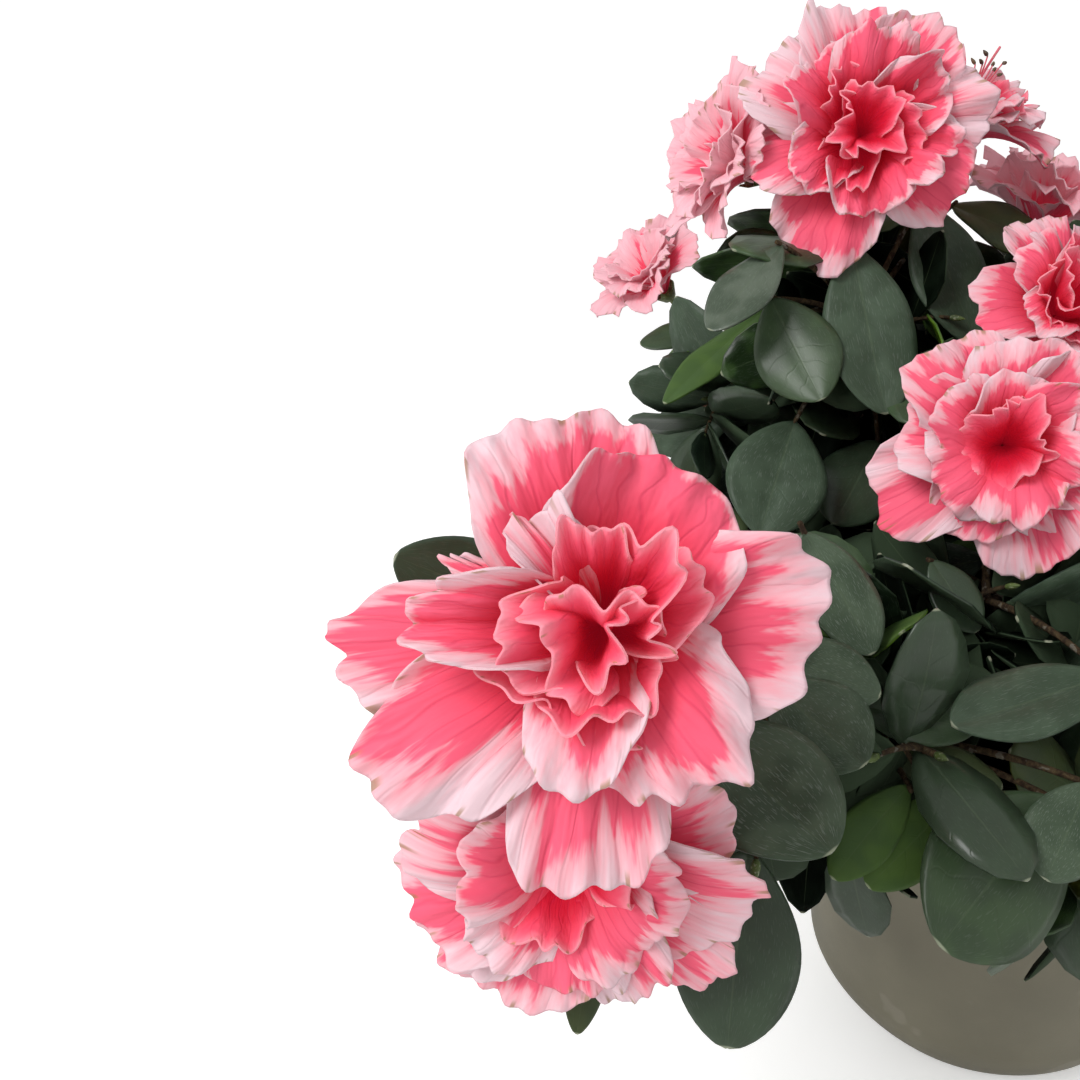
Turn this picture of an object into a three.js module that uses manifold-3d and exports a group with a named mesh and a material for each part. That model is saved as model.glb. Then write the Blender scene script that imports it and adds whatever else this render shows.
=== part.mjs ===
// A pot-grown azalea in full bloom: a low tapered pot with a rounded foot, its potting mix, a short
// trunk, arching boughs, masses of leafy shoots and trusses of large double flowers.
// Millimetres, +Z up. The origin is the middle of the pot's flat underside, and the long flowering
// bough reaches out to the front left, towards -X and -Y.

import * as THREE from "three";
import { mergeVertices } from "three/addons/utils/BufferGeometryUtils.js";
import Module from "manifold-3d";

const wasm = await Module();
wasm.setup();

const CLEARANCE = 0.3; // between solids that touch on the real plant
const UP = new THREE.Vector3(0, 0, 1);
const GOLDEN_ANGLE = Math.PI * (3 - Math.sqrt(5));
const FOLIAGE_SEED = 300;
const FLOWER_SEED = 700;

// The pot
const POT_HEIGHT = 92;
const POT_RIM_RADIUS = 64;
const POT_BELLY_RADIUS = 51;
const POT_BELLY_HEIGHT = 24;
const POT_FOOT_RADIUS = 36;
const POT_WALL = 1.8;
const LIP_DEPTH = 9;
const LIP_WIDTH = 1.6;
const POT_SIDES = 32;
const DRAIN_COUNT = 6;
const DRAIN_RADIUS = 3.5;
const DRAIN_RING_RADIUS = 25;

// The potting mix
const SOIL_LEVEL = 80;
const SOIL_SLUMP = 3; // how far it falls away from the middle to the wall
const SOIL_FLAT_RADIUS = 14;

// The trunk
const TRUNK_HEIGHT = 60;
const TRUNK_FOOT_RADIUS = 7;
const TRUNK_TIP_RADIUS = 4.4;
const TRUNK_LEAN = 5;
const ROOT_FLARE = 0.45;
const ROOT_FLARE_HEIGHT = 7;
const ROOT_COUNT = 4;
const TRUNK_SIDES = 12;

// The boughs that carry the foliage, and the thinner ones that carry the flowers
const LOWEST_BOUGH = 0.32; // shares of the trunk's height
const HIGHEST_BOUGH = 0.97;
const BOUGH_BASE_RADIUS = 2.6;
const BOUGH_TIP_RADIUS = 1.6;
const FLOWER_BOUGH_BASE_RADIUS = 1.5;
const FLOWER_BOUGH_TIP_RADIUS = 1.1;
const FLOWER_BOUGH_START = 0.66; // share of the parent bough's length
const STALK_RADIUS = 1.1;
const LIMB_SIDES = 5;
const LIMB_STEPS = 5;

// The leafy shoots
const SHOOTS_PER_MASS = 4;
const LEAVES_PER_SHOOT = 5;
const SHOOT_BASE_RADIUS = 1.5;
const SHOOT_TIP_RADIUS = 1.1;
const LEAF_LENGTH = 45;
const LEAF_SPREAD = 0.22; // share by which lengths differ
const LEAF_WIDTH_SHARE = 0.56;
const LEAF_BROADEST = 0.06; // how far past its middle a leaf is widest, as a share of its length
const LEAF_THICKNESS = 1.1;
const LEAF_ROOT_DEPTH = 0.3; // how deep a leaf's foot is sunk past the middle of its shoot
const LOWEST_LEAF = 62;
const LONE_TWIG_START = 0.6; // share of the stem's length
const LONE_LEAF_START = 0.94; // share of its twig's length
const LONE_TWIG_FREE = 4; // points at a lone twig's foot that other shoots may pass close to
// A leaf that doesn't fit is swung round its shoot, and then made shorter, before it is left out.
const LEAF_TRIES = [1, 0.75].flatMap((shorter) =>
  [0, 0.6, -0.6, 1.2].map((swing) => ({ swing, shorter })),
);

// The double flowers, as shares of a flower's width
const PETALS = 5;
const PETAL_POINTS = 3; // corners along the edge of each petal
const FLOWER_REACH = 0.52; // half width of the space that a flower keeps to
const FLOWER_DEPTH = 0.36; // half depth of that space
const plainRow = (out, ahead) => ({ out, ahead, notch: 0, wave: 0, turn: 0 });
const petalRow = (out, ahead, notch, wave, turn) => ({ out, ahead, notch, wave, turn });
const FLOWER_ROWS = [
  plainRow(0, -0.38),
  plainRow(0.03, -0.34),
  plainRow(0.06, -0.24),
  plainRow(0.3, -0.08),
  petalRow(0.5, -0.03, 0.3, 0.03, 0),
  plainRow(0.22, -0.01),
  petalRow(0.36, 0.14, 0.35, 0.03, 2),
  plainRow(0, 0.04),
];

// Masses of foliage: the direction round the axis in degrees, the distance of the middle from the
// axis, its height and how far the foliage reaches from it. Their boughs leave the trunk in this
// order, from low down to its tip.
const MASSES = [
  { name: "low_front", angle: 258, out: 64, height: 124, reach: 50 },
  { name: "low_right", angle: 16, out: 80, height: 122, reach: 54 },
  { name: "low_back_left", angle: 134, out: 78, height: 124, reach: 54 },
  { name: "low_front_right", angle: 318, out: 78, height: 124, reach: 54 },
  { name: "low_back_right", angle: 74, out: 78, height: 126, reach: 54 },
  { name: "low_left", angle: 186, out: 78, height: 126, reach: 52 },
  { name: "mid_front_right", angle: 300, out: 60, height: 182, reach: 54 },
  { name: "back_left", angle: 140, out: 92, height: 188, reach: 48 },
  { name: "front_left_spray", angle: 226, out: 160, height: 164, reach: 50 },
  { name: "mid_right", angle: 10, out: 68, height: 184, reach: 56 },
  { name: "front_left", angle: 224, out: 104, height: 142, reach: 50 },
  { name: "mid_back", angle: 82, out: 64, height: 186, reach: 56 },
  { name: "mid_front_left", angle: 228, out: 58, height: 168, reach: 44 },
  { name: "top_left", angle: 160, out: 62, height: 230, reach: 48 },
  { name: "top_right", angle: 40, out: 30, height: 230, reach: 52 },
];

// Trusses of flowers: where each flower's middle is, which way it faces and how wide it is.
const TRUSSES = [
  {
    name: "front_left",
    flowers: [
      { at: [-139, -137, 203], faces: [-0.05, -0.88, 0.46], width: 74 },
      { at: [-142, -130, 158], faces: [-0.1, -0.94, 0.05], width: 64 },
    ],
  },
  {
    name: "top_left",
    flowers: [
      { at: [-61, 15, 271], faces: [-0.25, -0.93, 0.2], width: 60 },
      { at: [-94, 34, 264], faces: [-0.85, -0.3, 0.3], width: 50 },
      { at: [-24, 40, 278], faces: [0.35, -0.35, 0.85], width: 54 },
    ],
  },
  { name: "back_left", flowers: [{ at: [-107, 96, 227], faces: [-0.6, -0.3, 0.65], width: 48 }] },
  {
    name: "front",
    flowers: [
      { at: [-36, -41, 204], faces: [-0.3, -0.9, 0.3], width: 62 },
      { at: [-8, -4, 231], faces: [0.05, -0.8, 0.6], width: 54 },
    ],
  },
  { name: "top_back", flowers: [{ at: [10, 56, 254], faces: [0.1, -0.1, 0.95], width: 58 }] },
  { name: "front_right", flowers: [{ at: [58, -84, 184], faces: [0.4, -0.82, 0.4], width: 66 }] },
  {
    name: "right",
    flowers: [
      { at: [124, -6, 176], faces: [0.88, -0.15, 0.35], width: 66 },
      { at: [98, 26, 216], faces: [0.7, 0.2, 0.65], width: 58 },
    ],
  },
  { name: "back_right", flowers: [{ at: [64, 112, 168], faces: [0.4, 0.85, 0.3], width: 66 }] },
  { name: "back", flowers: [{ at: [-34, 114, 206], faces: [-0.2, 0.85, 0.5], width: 60 }] },
  { name: "left", flowers: [{ at: [-122, 4, 148], faces: [-0.92, -0.25, 0.2], width: 58 }] },
  { name: "low_right", flowers: [{ at: [108, -78, 128], faces: [0.75, -0.62, 0.1], width: 58 }] },
];

// Single leaves that stand out of the crown on twigs of their own: the places of each one's foot and
// tip, which way its upper face looks and its width as a share of its length.
const LONE_LEAVES = [
  { foot: [-116, -106, 172], tip: [-97, -132, 162], looks: [0.2, -0.8, 0.55], width: 0.72 },
  { foot: [-25, -82, 165], tip: [-62, -94, 161], looks: [0, -0.35, 0.93], width: 0.42 },
  { foot: [-38, -98, 146], tip: [-70, -117, 130], looks: [-0.2, -0.9, 0.4], width: 0.7 },
  { foot: [-104, -108, 143], tip: [-110, -128, 116], looks: [0, -0.85, 0.5], width: 0.66 },
  { foot: [-73, 10, 193], tip: [-85, -12, 171], looks: [-0.1, -0.85, 0.5], width: 0.75 },
  { foot: [-83, 11, 229], tip: [-70, -6, 205], looks: [-0.3, -0.85, 0.4], width: 0.68 },
  { foot: [-60, 16, 243], tip: [-54, -8, 202], looks: [0, -0.9, 0.4], width: 0.5 },
  { foot: [-24, 40, 252], tip: [2, 30, 240], looks: [0.1, -0.6, 0.8], width: 0.6 },
  { foot: [-82, 8, 244], tip: [-100, -4, 223], looks: [-0.6, -0.7, 0.3], width: 0.5 },
  { foot: [-142, -106, 192], tip: [-167, -110, 206], looks: [0, -0.9, 0.4], width: 0.5 },
];

const COLOURS = {
  pot: { color: 0x8a8578, roughness: 0.55, metalness: 0 },
  soil: { color: 0x2b1f17, roughness: 0.95, metalness: 0 },
  bark: { color: 0x6b5140, roughness: 0.85, metalness: 0 },
  leaf: { color: 0x2c4632, roughness: 0.5, metalness: 0 },
  petal: { color: 0xe8668a, roughness: 0.6, metalness: 0 },
};

// Numbers from 0 to 1 that are the same on every run.
function seeded(seed) {
  let state = Math.imul(seed, 2654435761) >>> 0;
  return () => {
    state = (Math.imul(state, 1664525) + 1013904223) >>> 0;
    return state / 4294967296;
  };
}

const vector = (x, y, z) => new THREE.Vector3(x, y, z);
const along = (from, direction, distance) => from.clone().addScaledVector(direction, distance);
const lerp = (a, b, t) => a + (b - a) * t;

function aroundAxis(degrees, radius, height) {
  const angle = THREE.MathUtils.degToRad(degrees);
  return vector(radius * Math.cos(angle), radius * Math.sin(angle), height);
}

// Two directions at right angles to a tangent: one level, and one that leans up.
function crossDirections(tangent) {
  const side = new THREE.Vector3().crossVectors(tangent, UP);
  if (side.length() < 0.05) side.set(1, 0, 0);
  side.normalize();
  return { side, lift: new THREE.Vector3().crossVectors(side, tangent) };
}

// Solids and booleans

function toSolid(geometry) {
  const bare = new THREE.BufferGeometry();
  bare.setAttribute("position", geometry.getAttribute("position").clone());
  bare.setIndex(geometry.index);
  const merged = mergeVertices(bare, 1e-4);
  return new wasm.Manifold(
    new wasm.Mesh({
      numProp: 3,
      vertProperties: new Float32Array(merged.attributes.position.array),
      triVerts: new Uint32Array(merged.index.array),
    }),
  );
}

function toGeometry(solid) {
  const mesh = solid.getMesh();
  const geometry = new THREE.BufferGeometry();
  geometry.setAttribute("position", new THREE.BufferAttribute(mesh.vertProperties, 3));
  geometry.setIndex(new THREE.BufferAttribute(mesh.triVerts, 1));
  geometry.computeVertexNormals();
  return geometry;
}

const joinAll = (solids) => solids.reduce((whole, solid) => whole.add(solid));

// The largest piece of a solid, without loose scraps and with sealed hollows filled.
function mainPiece(solid) {
  return solid.decompose().reduce((best, piece) => (piece.volume() > best.volume() ? piece : best));
}

// Moves every vertex of a geometry by a function of its place.
function reshape(geometry, place) {
  const position = geometry.getAttribute("position");
  const vertex = new THREE.Vector3();
  for (let i = 0; i < position.count; i++) {
    const moved = place(vertex.fromBufferAttribute(position, i));
    position.setXYZ(i, moved.x, moved.y, moved.z);
  }
  return geometry;
}

// A limb of round section that tapers along a curve. widen makes it that much thicker and longer, to
// cut room for it in a neighbour.
function limb(curve, baseRadius, tipRadius, sides, steps, widen = 0) {
  const shape = new THREE.CylinderGeometry(1, 1, 1, sides, steps);
  return toSolid(
    reshape(shape, ({ x, y, z }) => {
      const t = y + 0.5;
      const tangent = curve.getTangent(t);
      const { side, lift } = crossDirections(tangent);
      const radius = lerp(baseRadius, tipRadius, t) + widen;
      return curve
        .getPoint(t)
        .addScaledVector(side, x * radius)
        .addScaledVector(lift, z * radius)
        .addScaledVector(tangent, t === 1 ? widen : 0);
    }),
  );
}

// The pot and its filling

function wallRadius(height) {
  if (height >= POT_BELLY_HEIGHT) {
    const t = (height - POT_BELLY_HEIGHT) / (POT_HEIGHT - POT_BELLY_HEIGHT);
    return lerp(POT_BELLY_RADIUS, POT_RIM_RADIUS - LIP_WIDTH, t);
  }
  const t = height / POT_BELLY_HEIGHT;
  return lerp(POT_FOOT_RADIUS, POT_BELLY_RADIUS, Math.sin((Math.PI / 2) * t));
}

function turned(outline) {
  const shape = new THREE.LatheGeometry(
    outline.map(([radius, height]) => new THREE.Vector2(radius, height)),
    POT_SIDES,
  );
  return toSolid(reshape(shape, ({ x, y, z }) => vector(x, -z, y)));
}

function makePot() {
  const outsideHeights = [0, 3, 9, POT_BELLY_HEIGHT, POT_HEIGHT - LIP_DEPTH];
  const outside = outsideHeights.map((height) => [wallRadius(height), height]);
  const lip = [
    [POT_RIM_RADIUS - 0.4, POT_HEIGHT - LIP_DEPTH + 0.4],
    [POT_RIM_RADIUS, POT_HEIGHT],
    [POT_RIM_RADIUS - POT_WALL - LIP_WIDTH, POT_HEIGHT],
  ];
  const insideHeights = [POT_BELLY_HEIGHT, 9, 3];
  const inside = insideHeights.map((height) => [wallRadius(height) - POT_WALL, height]);
  let pot = turned([[0, 0], ...outside, ...lip, ...inside, [0, POT_WALL]]);
  for (let i = 0; i < DRAIN_COUNT; i++) {
    const drain = new THREE.CylinderGeometry(DRAIN_RADIUS, DRAIN_RADIUS, 3 * POT_WALL, 8);
    const place = aroundAxis((360 / DRAIN_COUNT) * i, DRAIN_RING_RADIUS, 0);
    pot = pot.subtract(toSolid(drain.rotateX(Math.PI / 2).translate(place.x, place.y, place.z)));
  }
  return pot;
}

function makeSoil() {
  const room = POT_WALL + CLEARANCE;
  const sideHeights = [3, 9, POT_BELLY_HEIGHT, SOIL_LEVEL - SOIL_SLUMP];
  const side = sideHeights.map((height) => [wallRadius(height) - room, height]);
  const middleRadius = (SOIL_FLAT_RADIUS + POT_BELLY_RADIUS) / 2;
  return turned([
    [0, POT_WALL + CLEARANCE],
    ...side,
    [middleRadius, SOIL_LEVEL - SOIL_SLUMP / 4],
    [SOIL_FLAT_RADIUS, SOIL_LEVEL],
    [0, SOIL_LEVEL],
  ]);
}

// The trunk

const trunkFoot = vector(0, 0, SOIL_LEVEL + CLEARANCE);
const trunkTip = vector(-TRUNK_LEAN, TRUNK_LEAN / 2, SOIL_LEVEL + TRUNK_HEIGHT);
const trunkLine = new THREE.QuadraticBezierCurve3(
  trunkFoot,
  vector(0, 0, SOIL_LEVEL + TRUNK_HEIGHT / 2),
  trunkTip,
);

// The flare grows towards the foot in a few lobes, one for each main root. The foot is cut level.
function makeTrunk(widen = 0) {
  const shape = new THREE.CylinderGeometry(1, 1, 1, TRUNK_SIDES, 8);
  return toSolid(
    reshape(shape, ({ x, y, z }) => {
      const t = y + 0.5;
      const centre = trunkLine.getPoint(t);
      const lobes = 0.6 + 0.4 * Math.cos(ROOT_COUNT * Math.atan2(z, x));
      const flare = ROOT_FLARE * lobes * Math.exp((trunkFoot.z - centre.z) / ROOT_FLARE_HEIGHT);
      const radius = lerp(TRUNK_FOOT_RADIUS, TRUNK_TIP_RADIUS, t) * (1 + flare) + widen;
      return vector(centre.x + x * radius, centre.y - z * radius, centre.z + (t === 1 ? widen : 0));
    }),
  );
}

// Boughs

const crownHeart = vector(0, 0, 140);

function massFrame(mass) {
  const centre = aroundAxis(mass.angle, mass.out, mass.height);
  const outward = centre.clone().sub(crownHeart).normalize();
  return { ...mass, centre, outward, foot: along(centre, outward, -0.5 * mass.reach) };
}

// A bough leaves the trunk's middle line and swings out and up into its mass.
function boughLine(mass, order) {
  const start = trunkLine.getPoint(lerp(LOWEST_BOUGH, HIGHEST_BOUGH, order / (MASSES.length - 1)));
  const outLevel = vector(mass.centre.x, mass.centre.y, 0).normalize();
  const rise = mass.foot.z - start.z;
  const first = along(start, outLevel, 14).addScaledVector(UP, 0.35 * Math.max(rise, 12));
  const last = along(mass.foot, mass.outward, -14).addScaledVector(UP, 4);
  return new THREE.CubicBezierCurve3(start, first, last, mass.foot);
}

function flowerFrame(flower) {
  const centre = vector(...flower.at);
  const facing = vector(...flower.faces).normalize();
  return { ...flower, centre, facing, back: along(centre, facing, -FLOWER_DEPTH * flower.width) };
}

// The mass whose middle is nearest to a place.
function nearestMass(place, masses) {
  return masses.reduce((best, mass) =>
    mass.centre.distanceTo(place) < best.centre.distanceTo(place) ? mass : best,
  );
}

// A flower's stalk leaves the fork of its truss and swings round to the flower's foot.
function stalkLine(fork, direction, flower) {
  return new THREE.CubicBezierCurve3(
    fork,
    along(fork, direction, 6),
    along(flower.back, flower.facing, -4),
    along(flower.centre, flower.facing, -0.33 * flower.width),
  );
}

function trussFrame(truss, masses) {
  const flowers = truss.flowers.map(flowerFrame);
  const parent = nearestMass(flowers[0].back, masses);
  const stalkDirection = flowers
    .reduce((sum, flower) => sum.add(flower.facing), vector(0, 0, 0))
    .normalize();
  const meeting = flowers
    .reduce((sum, flower) => sum.add(flower.back), vector(0, 0, 0))
    .divideScalar(flowers.length);
  const fork = along(meeting, stalkDirection, flowers.length > 1 ? -12 : -5);
  const stalks = flowers.map((flower) => stalkLine(fork, stalkDirection, flower));
  return { ...truss, flowers, parent, stalkDirection, fork, stalks };
}

// A flower bough leaves the side of its parent bough and ends under its truss.
function flowerBoughLine(truss) {
  const parentLine = truss.parent.line;
  const start = parentLine.getPoint(FLOWER_BOUGH_START);
  const end = along(truss.fork, truss.stalkDirection, -CLEARANCE);
  const reach = start.distanceTo(end);
  const away = end.clone().sub(truss.parent.foot);
  away.addScaledVector(truss.parent.outward, -away.dot(truss.parent.outward)).normalize();
  const first = along(start, away, 0.28 * reach).addScaledVector(truss.parent.outward, 0.12 * reach);
  const last = along(end, truss.stalkDirection, -0.3 * reach);
  return new THREE.CubicBezierCurve3(start, first, last, end);
}

// What foliage keeps clear of: points down the middle of each limb, with its radius there, and
// points round the pot's rim.
function limbPoints(curve, baseRadius, tipRadius) {
  const count = Math.ceil(curve.getLength() / 2);
  return Array.from({ length: count + 1 }, (_, i) => ({
    place: curve.getPoint(i / count),
    radius: lerp(baseRadius, tipRadius, i / count),
  }));
}

function rimPoints() {
  return Array.from({ length: 180 }, (_, i) => ({
    place: aroundAxis(2 * i, POT_RIM_RADIUS - LIP_WIDTH, POT_HEIGHT),
    radius: POT_WALL + 0.6,
  }));
}

// Foliage

// A leaf: its foot, the way it points, the way its upper face looks, its length and its droop.
function leafPlace(leaf, u, v, height) {
  const droop = -leaf.droop * u * u - 0.12 * leaf.width * v * v;
  return along(leaf.foot, leaf.tipward, leaf.length * u)
    .addScaledVector(leaf.across, 0.5 * leaf.width * v)
    .addScaledVector(leaf.upper, droop + height);
}

// Half the width of a leaf's outline at u, as a share of its greatest half width.
function leafHalfWidth(u) {
  const broadest = 0.5 + LEAF_BROADEST;
  return u < broadest ? u / broadest : (1 - u) / (1 - broadest);
}

function leafSolid(leaf) {
  return toSolid(
    reshape(new THREE.SphereGeometry(1, 4, 2), ({ x, y, z }) => {
      const u = 0.5 + 0.5 * x + LEAF_BROADEST * (1 - Math.abs(x));
      return leafPlace(leaf, u, z, 0.5 * LEAF_THICKNESS * y);
    }),
  );
}

const LEAF_SAMPLES = [
  [0.3, 0],
  [0.65, 0],
  [1, 0],
  ...[0.2, 0.5, 0.75, 0.92].flatMap((u) => [-1, 1].map((side) => [u, side * leafHalfWidth(u)])),
];

function insideMass(place, mass, masses) {
  const own = place.distanceTo(mass.centre);
  if (own > mass.reach) return false;
  return masses.every((other) => {
    if (other === mass) return true;
    const apart = other.centre.distanceTo(mass.centre);
    return (place.distanceTo(other.centre) ** 2 - own ** 2) / (2 * apart) > 0.7;
  });
}

// Outside every flower's space, and not in front of one, where it would hide it.
function clearOfFlowers(place, flowers, margin) {
  return flowers.every((flower) => {
    const offset = place.clone().sub(flower.centre);
    const ahead = offset.dot(flower.facing);
    const beside = Math.sqrt(Math.max(0, offset.lengthSq() - ahead * ahead));
    const reach = FLOWER_REACH * flower.width + margin;
    const depth = FLOWER_DEPTH * flower.width + margin;
    if ((beside / reach) ** 2 + (ahead / depth) ** 2 < 1) return false;
    return !(ahead > 0 && ahead < 1.6 * flower.width && beside < 0.45 * flower.width + 0.15 * ahead);
  });
}

function clearOfPot(place) {
  if (place.z < LOWEST_LEAF) return false;
  return place.z > POT_HEIGHT + 1.5 || Math.hypot(place.x, place.y) > POT_RIM_RADIUS + 1.5;
}

function leafTouches(leaf, obstacles) {
  return obstacles.some(({ place, radius }) => {
    const offset = place.clone().sub(leaf.foot);
    const u = offset.dot(leaf.tipward) / leaf.length;
    if (u < -0.08 || u > 1.08) return false;
    const half = 0.5 * leaf.width * leafHalfWidth(THREE.MathUtils.clamp(u, 0.06, 0.94));
    const v = Math.abs(offset.dot(leaf.across));
    if (v > half + radius + 0.6) return false;
    const side = v / (0.5 * leaf.width);
    const surface = -leaf.droop * u * u - 0.12 * leaf.width * side * side;
    return Math.abs(offset.dot(leaf.upper) - surface) < radius + 0.5 * LEAF_THICKNESS + 1.1;
  });
}

// Points all over the outer part of a leaf, which later leaves keep clear of.
function leafPoints(leaf) {
  return [0.25, 0.4, 0.55, 0.7, 0.85, 1].flatMap((u) =>
    [-0.8, -0.4, 0, 0.4, 0.8].map((v) => ({
      place: leafPlace(leaf, u, v * leafHalfWidth(u), 0),
      radius: 0.5 * LEAF_THICKNESS,
    })),
  );
}

function leafFits(leaf, mass, world) {
  return (
    LEAF_SAMPLES.every(([u, v]) => {
      const place = leafPlace(leaf, u, v, 0);
      return (
        insideMass(place, mass, world.masses) &&
        clearOfFlowers(place, world.flowers, 1.2) &&
        clearOfPot(place)
      );
    }) && !leafTouches(leaf, world.obstacles)
  );
}

function makeLeaf(shootLine, t, turn, splay, length) {
  const tangent = shootLine.getTangent(t);
  const { side, lift } = crossDirections(tangent);
  const outward = side
    .clone()
    .multiplyScalar(Math.cos(turn))
    .addScaledVector(lift, Math.sin(turn));
  const tipward = tangent
    .clone()
    .multiplyScalar(Math.cos(splay))
    .addScaledVector(outward, Math.sin(splay));
  const upper = along(tangent, tipward, -tangent.dot(tipward)).normalize();
  const across = new THREE.Vector3().crossVectors(tipward, upper);
  const foot = along(shootLine.getPoint(t), tipward, -LEAF_ROOT_DEPTH);
  return { foot, tipward, upper, across, length, width: LEAF_WIDTH_SHARE * length, droop: 0.1 * length };
}

// Leaves stand round a shoot by the golden angle, wide open low down and closing towards the tip,
// and each keeps clear of those already grown in its mass.
function growLeaves(shoot, mass, world, random, grown) {
  const leaves = [];
  for (let i = 0; i < LEAVES_PER_SHOOT; i++) {
    const share = i / (LEAVES_PER_SHOOT - 1);
    const t = lerp(shoot.firstLeaf, 0.97, share);
    const length = LEAF_LENGTH * (1 + LEAF_SPREAD * (2 * random() - 1)) * lerp(1, 0.8, share);
    const turn = i * GOLDEN_ANGLE + shoot.turn;
    const splay = lerp(shoot.wide, shoot.close, share) + 0.3 * (random() - 0.5);
    const chosen = LEAF_TRIES.map(({ swing, shorter }) =>
      makeLeaf(shoot.line, t, turn + swing, splay, length * shorter),
    ).find((leaf) => leafFits(leaf, mass, world) && !leafTouches(leaf, grown));
    if (!chosen) continue;
    leaves.push(chosen);
    grown.push(...leafPoints(chosen));
  }
  return leaves;
}

// A lone leaf, on a twig that leaves the stem of its mass. Its foot is sunk in the twig's end.
function loneLeaf({ foot, tip, looks, width }, masses) {
  const mass = nearestMass(vector(...foot), masses);
  const twig = shootLine(stemLine(mass).getPoint(LONE_TWIG_START), vector(...foot));
  const from = twig.getPoint(LONE_LEAF_START);
  const tipward = vector(...tip).sub(from);
  const length = tipward.length();
  tipward.normalize();
  const upper = vector(...looks);
  upper.addScaledVector(tipward, -upper.dot(tipward)).normalize();
  const across = new THREE.Vector3().crossVectors(tipward, upper);
  const leaf = { foot: from, tipward, upper, across, length, width: width * length, droop: 0 };
  return { mass, leaf, twig };
}

function shootFits(line, mass, world) {
  for (let i = 1; i <= 10; i++) {
    const place = line.getPoint(i / 10);
    if (!insideMass(place, mass, world.masses)) return false;
    if (!clearOfFlowers(place, world.flowers, 2.5) || !clearOfPot(place)) return false;
    const near = world.obstacles.some(
      (obstacle) => obstacle.place.distanceTo(place) < obstacle.radius + SHOOT_BASE_RADIUS + 1.4,
    );
    if (near) return false;
  }
  return true;
}

// A shoot from a point of the stem towards an end, lifted in its middle.
function shootLine(start, end) {
  const middle = start.clone().lerp(end, 0.5);
  return new THREE.QuadraticBezierCurve3(start, along(middle, UP, 0.12 * start.distanceTo(end)), end);
}

// The stem's line runs on from the bough's tip through the middle of the mass.
function stemLine(mass) {
  const start = along(mass.foot, mass.line.getTangent(1), CLEARANCE);
  const end = along(mass.centre, mass.outward, 0.1 * mass.reach);
  return new THREE.QuadraticBezierCurve3(start, along(start, mass.line.getTangent(1), 8), end);
}

// Collar shoots run to just behind the flowers of the mass, and the others fan out evenly.
function growShoots(mass, world, random) {
  const stem = stemLine(mass);
  const shoots = [];
  for (const flower of world.flowers.filter((flower) => flower.owner === mass)) {
    const { side } = crossDirections(flower.facing);
    for (const offset of [5, -5]) {
      const end = along(flower.back, flower.facing, -3).addScaledVector(side, offset);
      const line = shootLine(stem.getPoint(0.7), end);
      if (shootFits(line, mass, world)) {
        shoots.push({ line, firstLeaf: 0.6, turn: random() * 6, wide: 1.5, close: 1.3 });
        break;
      }
    }
  }
  for (let i = 0; i < SHOOTS_PER_MASS; i++) {
    const polar = Math.acos(1 - ((i + 0.5) / SHOOTS_PER_MASS) * 1.5);
    const turn = i * GOLDEN_ANGLE + 0.8 * random();
    const { side, lift } = crossDirections(mass.outward);
    const direction = mass.outward
      .clone()
      .multiplyScalar(Math.cos(polar))
      .addScaledVector(side, Math.sin(polar) * Math.cos(turn))
      .addScaledVector(lift, Math.sin(polar) * Math.sin(turn));
    const start = stem.getPoint(lerp(1, 0.35, (i + 0.5) / SHOOTS_PER_MASS));
    const lengths = [0.62, 0.48, 0.36].map((share) => share * mass.reach * lerp(0.85, 1, random()));
    const lines = lengths.map((length) => shootLine(start, along(start, direction, length)));
    const line = lines.find((candidate) => shootFits(candidate, mass, world));
    if (line) shoots.push({ line, firstLeaf: 0.3, turn: random() * 6, wide: 1.35, close: 0.55 });
  }
  return { stem, shoots };
}

function makeFoliage(mass, world, seed) {
  const random = seeded(seed);
  const { stem, shoots } = growShoots(mass, world, random);
  const solids = [limb(stem, BOUGH_TIP_RADIUS, SHOOT_BASE_RADIUS, 4, 3)];
  for (const { leaf, twig } of world.loneLeaves.filter((lone) => lone.mass === mass)) {
    solids.push(limb(twig, SHOOT_BASE_RADIUS, SHOOT_TIP_RADIUS, 3, 2), leafSolid(leaf));
  }
  const grown = [];
  for (const shoot of shoots) {
    solids.push(limb(shoot.line, SHOOT_BASE_RADIUS, SHOOT_TIP_RADIUS, 3, 2));
    solids.push(...growLeaves(shoot, mass, world, random, grown).map(leafSolid));
  }
  return mainPiece(joinAll(solids));
}

// Flowers

// The row of a flower's outline that a vertex came from.
function rowAt(out, ahead) {
  const miss = (row) => Math.abs(row.out - out) + Math.abs(row.ahead - ahead);
  return FLOWER_ROWS.reduce((best, row) => (miss(row) < miss(best) ? row : best));
}

// A flower is one turned outline whose petal edges are then notched and waved.
function flowerSolid(flower, turn) {
  const rows = FLOWER_ROWS.map(({ out, ahead }) => new THREE.Vector2(out, ahead));
  const shape = new THREE.LatheGeometry(rows, PETALS * PETAL_POINTS);
  const { side, lift } = crossDirections(flower.facing);
  return toSolid(
    reshape(shape, ({ x, y, z }) => {
      const row = rowAt(Math.hypot(x, z), y);
      const angle = Math.atan2(z, x);
      const phase = PETALS * angle + Math.PI / PETAL_POINTS + row.turn;
      const notched = lerp(1 - row.notch, 1, Math.abs(Math.cos(0.5 * phase)));
      return flower.centre
        .clone()
        .addScaledVector(side, flower.width * row.out * notched * Math.cos(angle + turn))
        .addScaledVector(lift, flower.width * row.out * notched * Math.sin(angle + turn))
        .addScaledVector(flower.facing, flower.width * (row.ahead + row.wave * Math.cos(phase)));
    }),
  );
}

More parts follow.
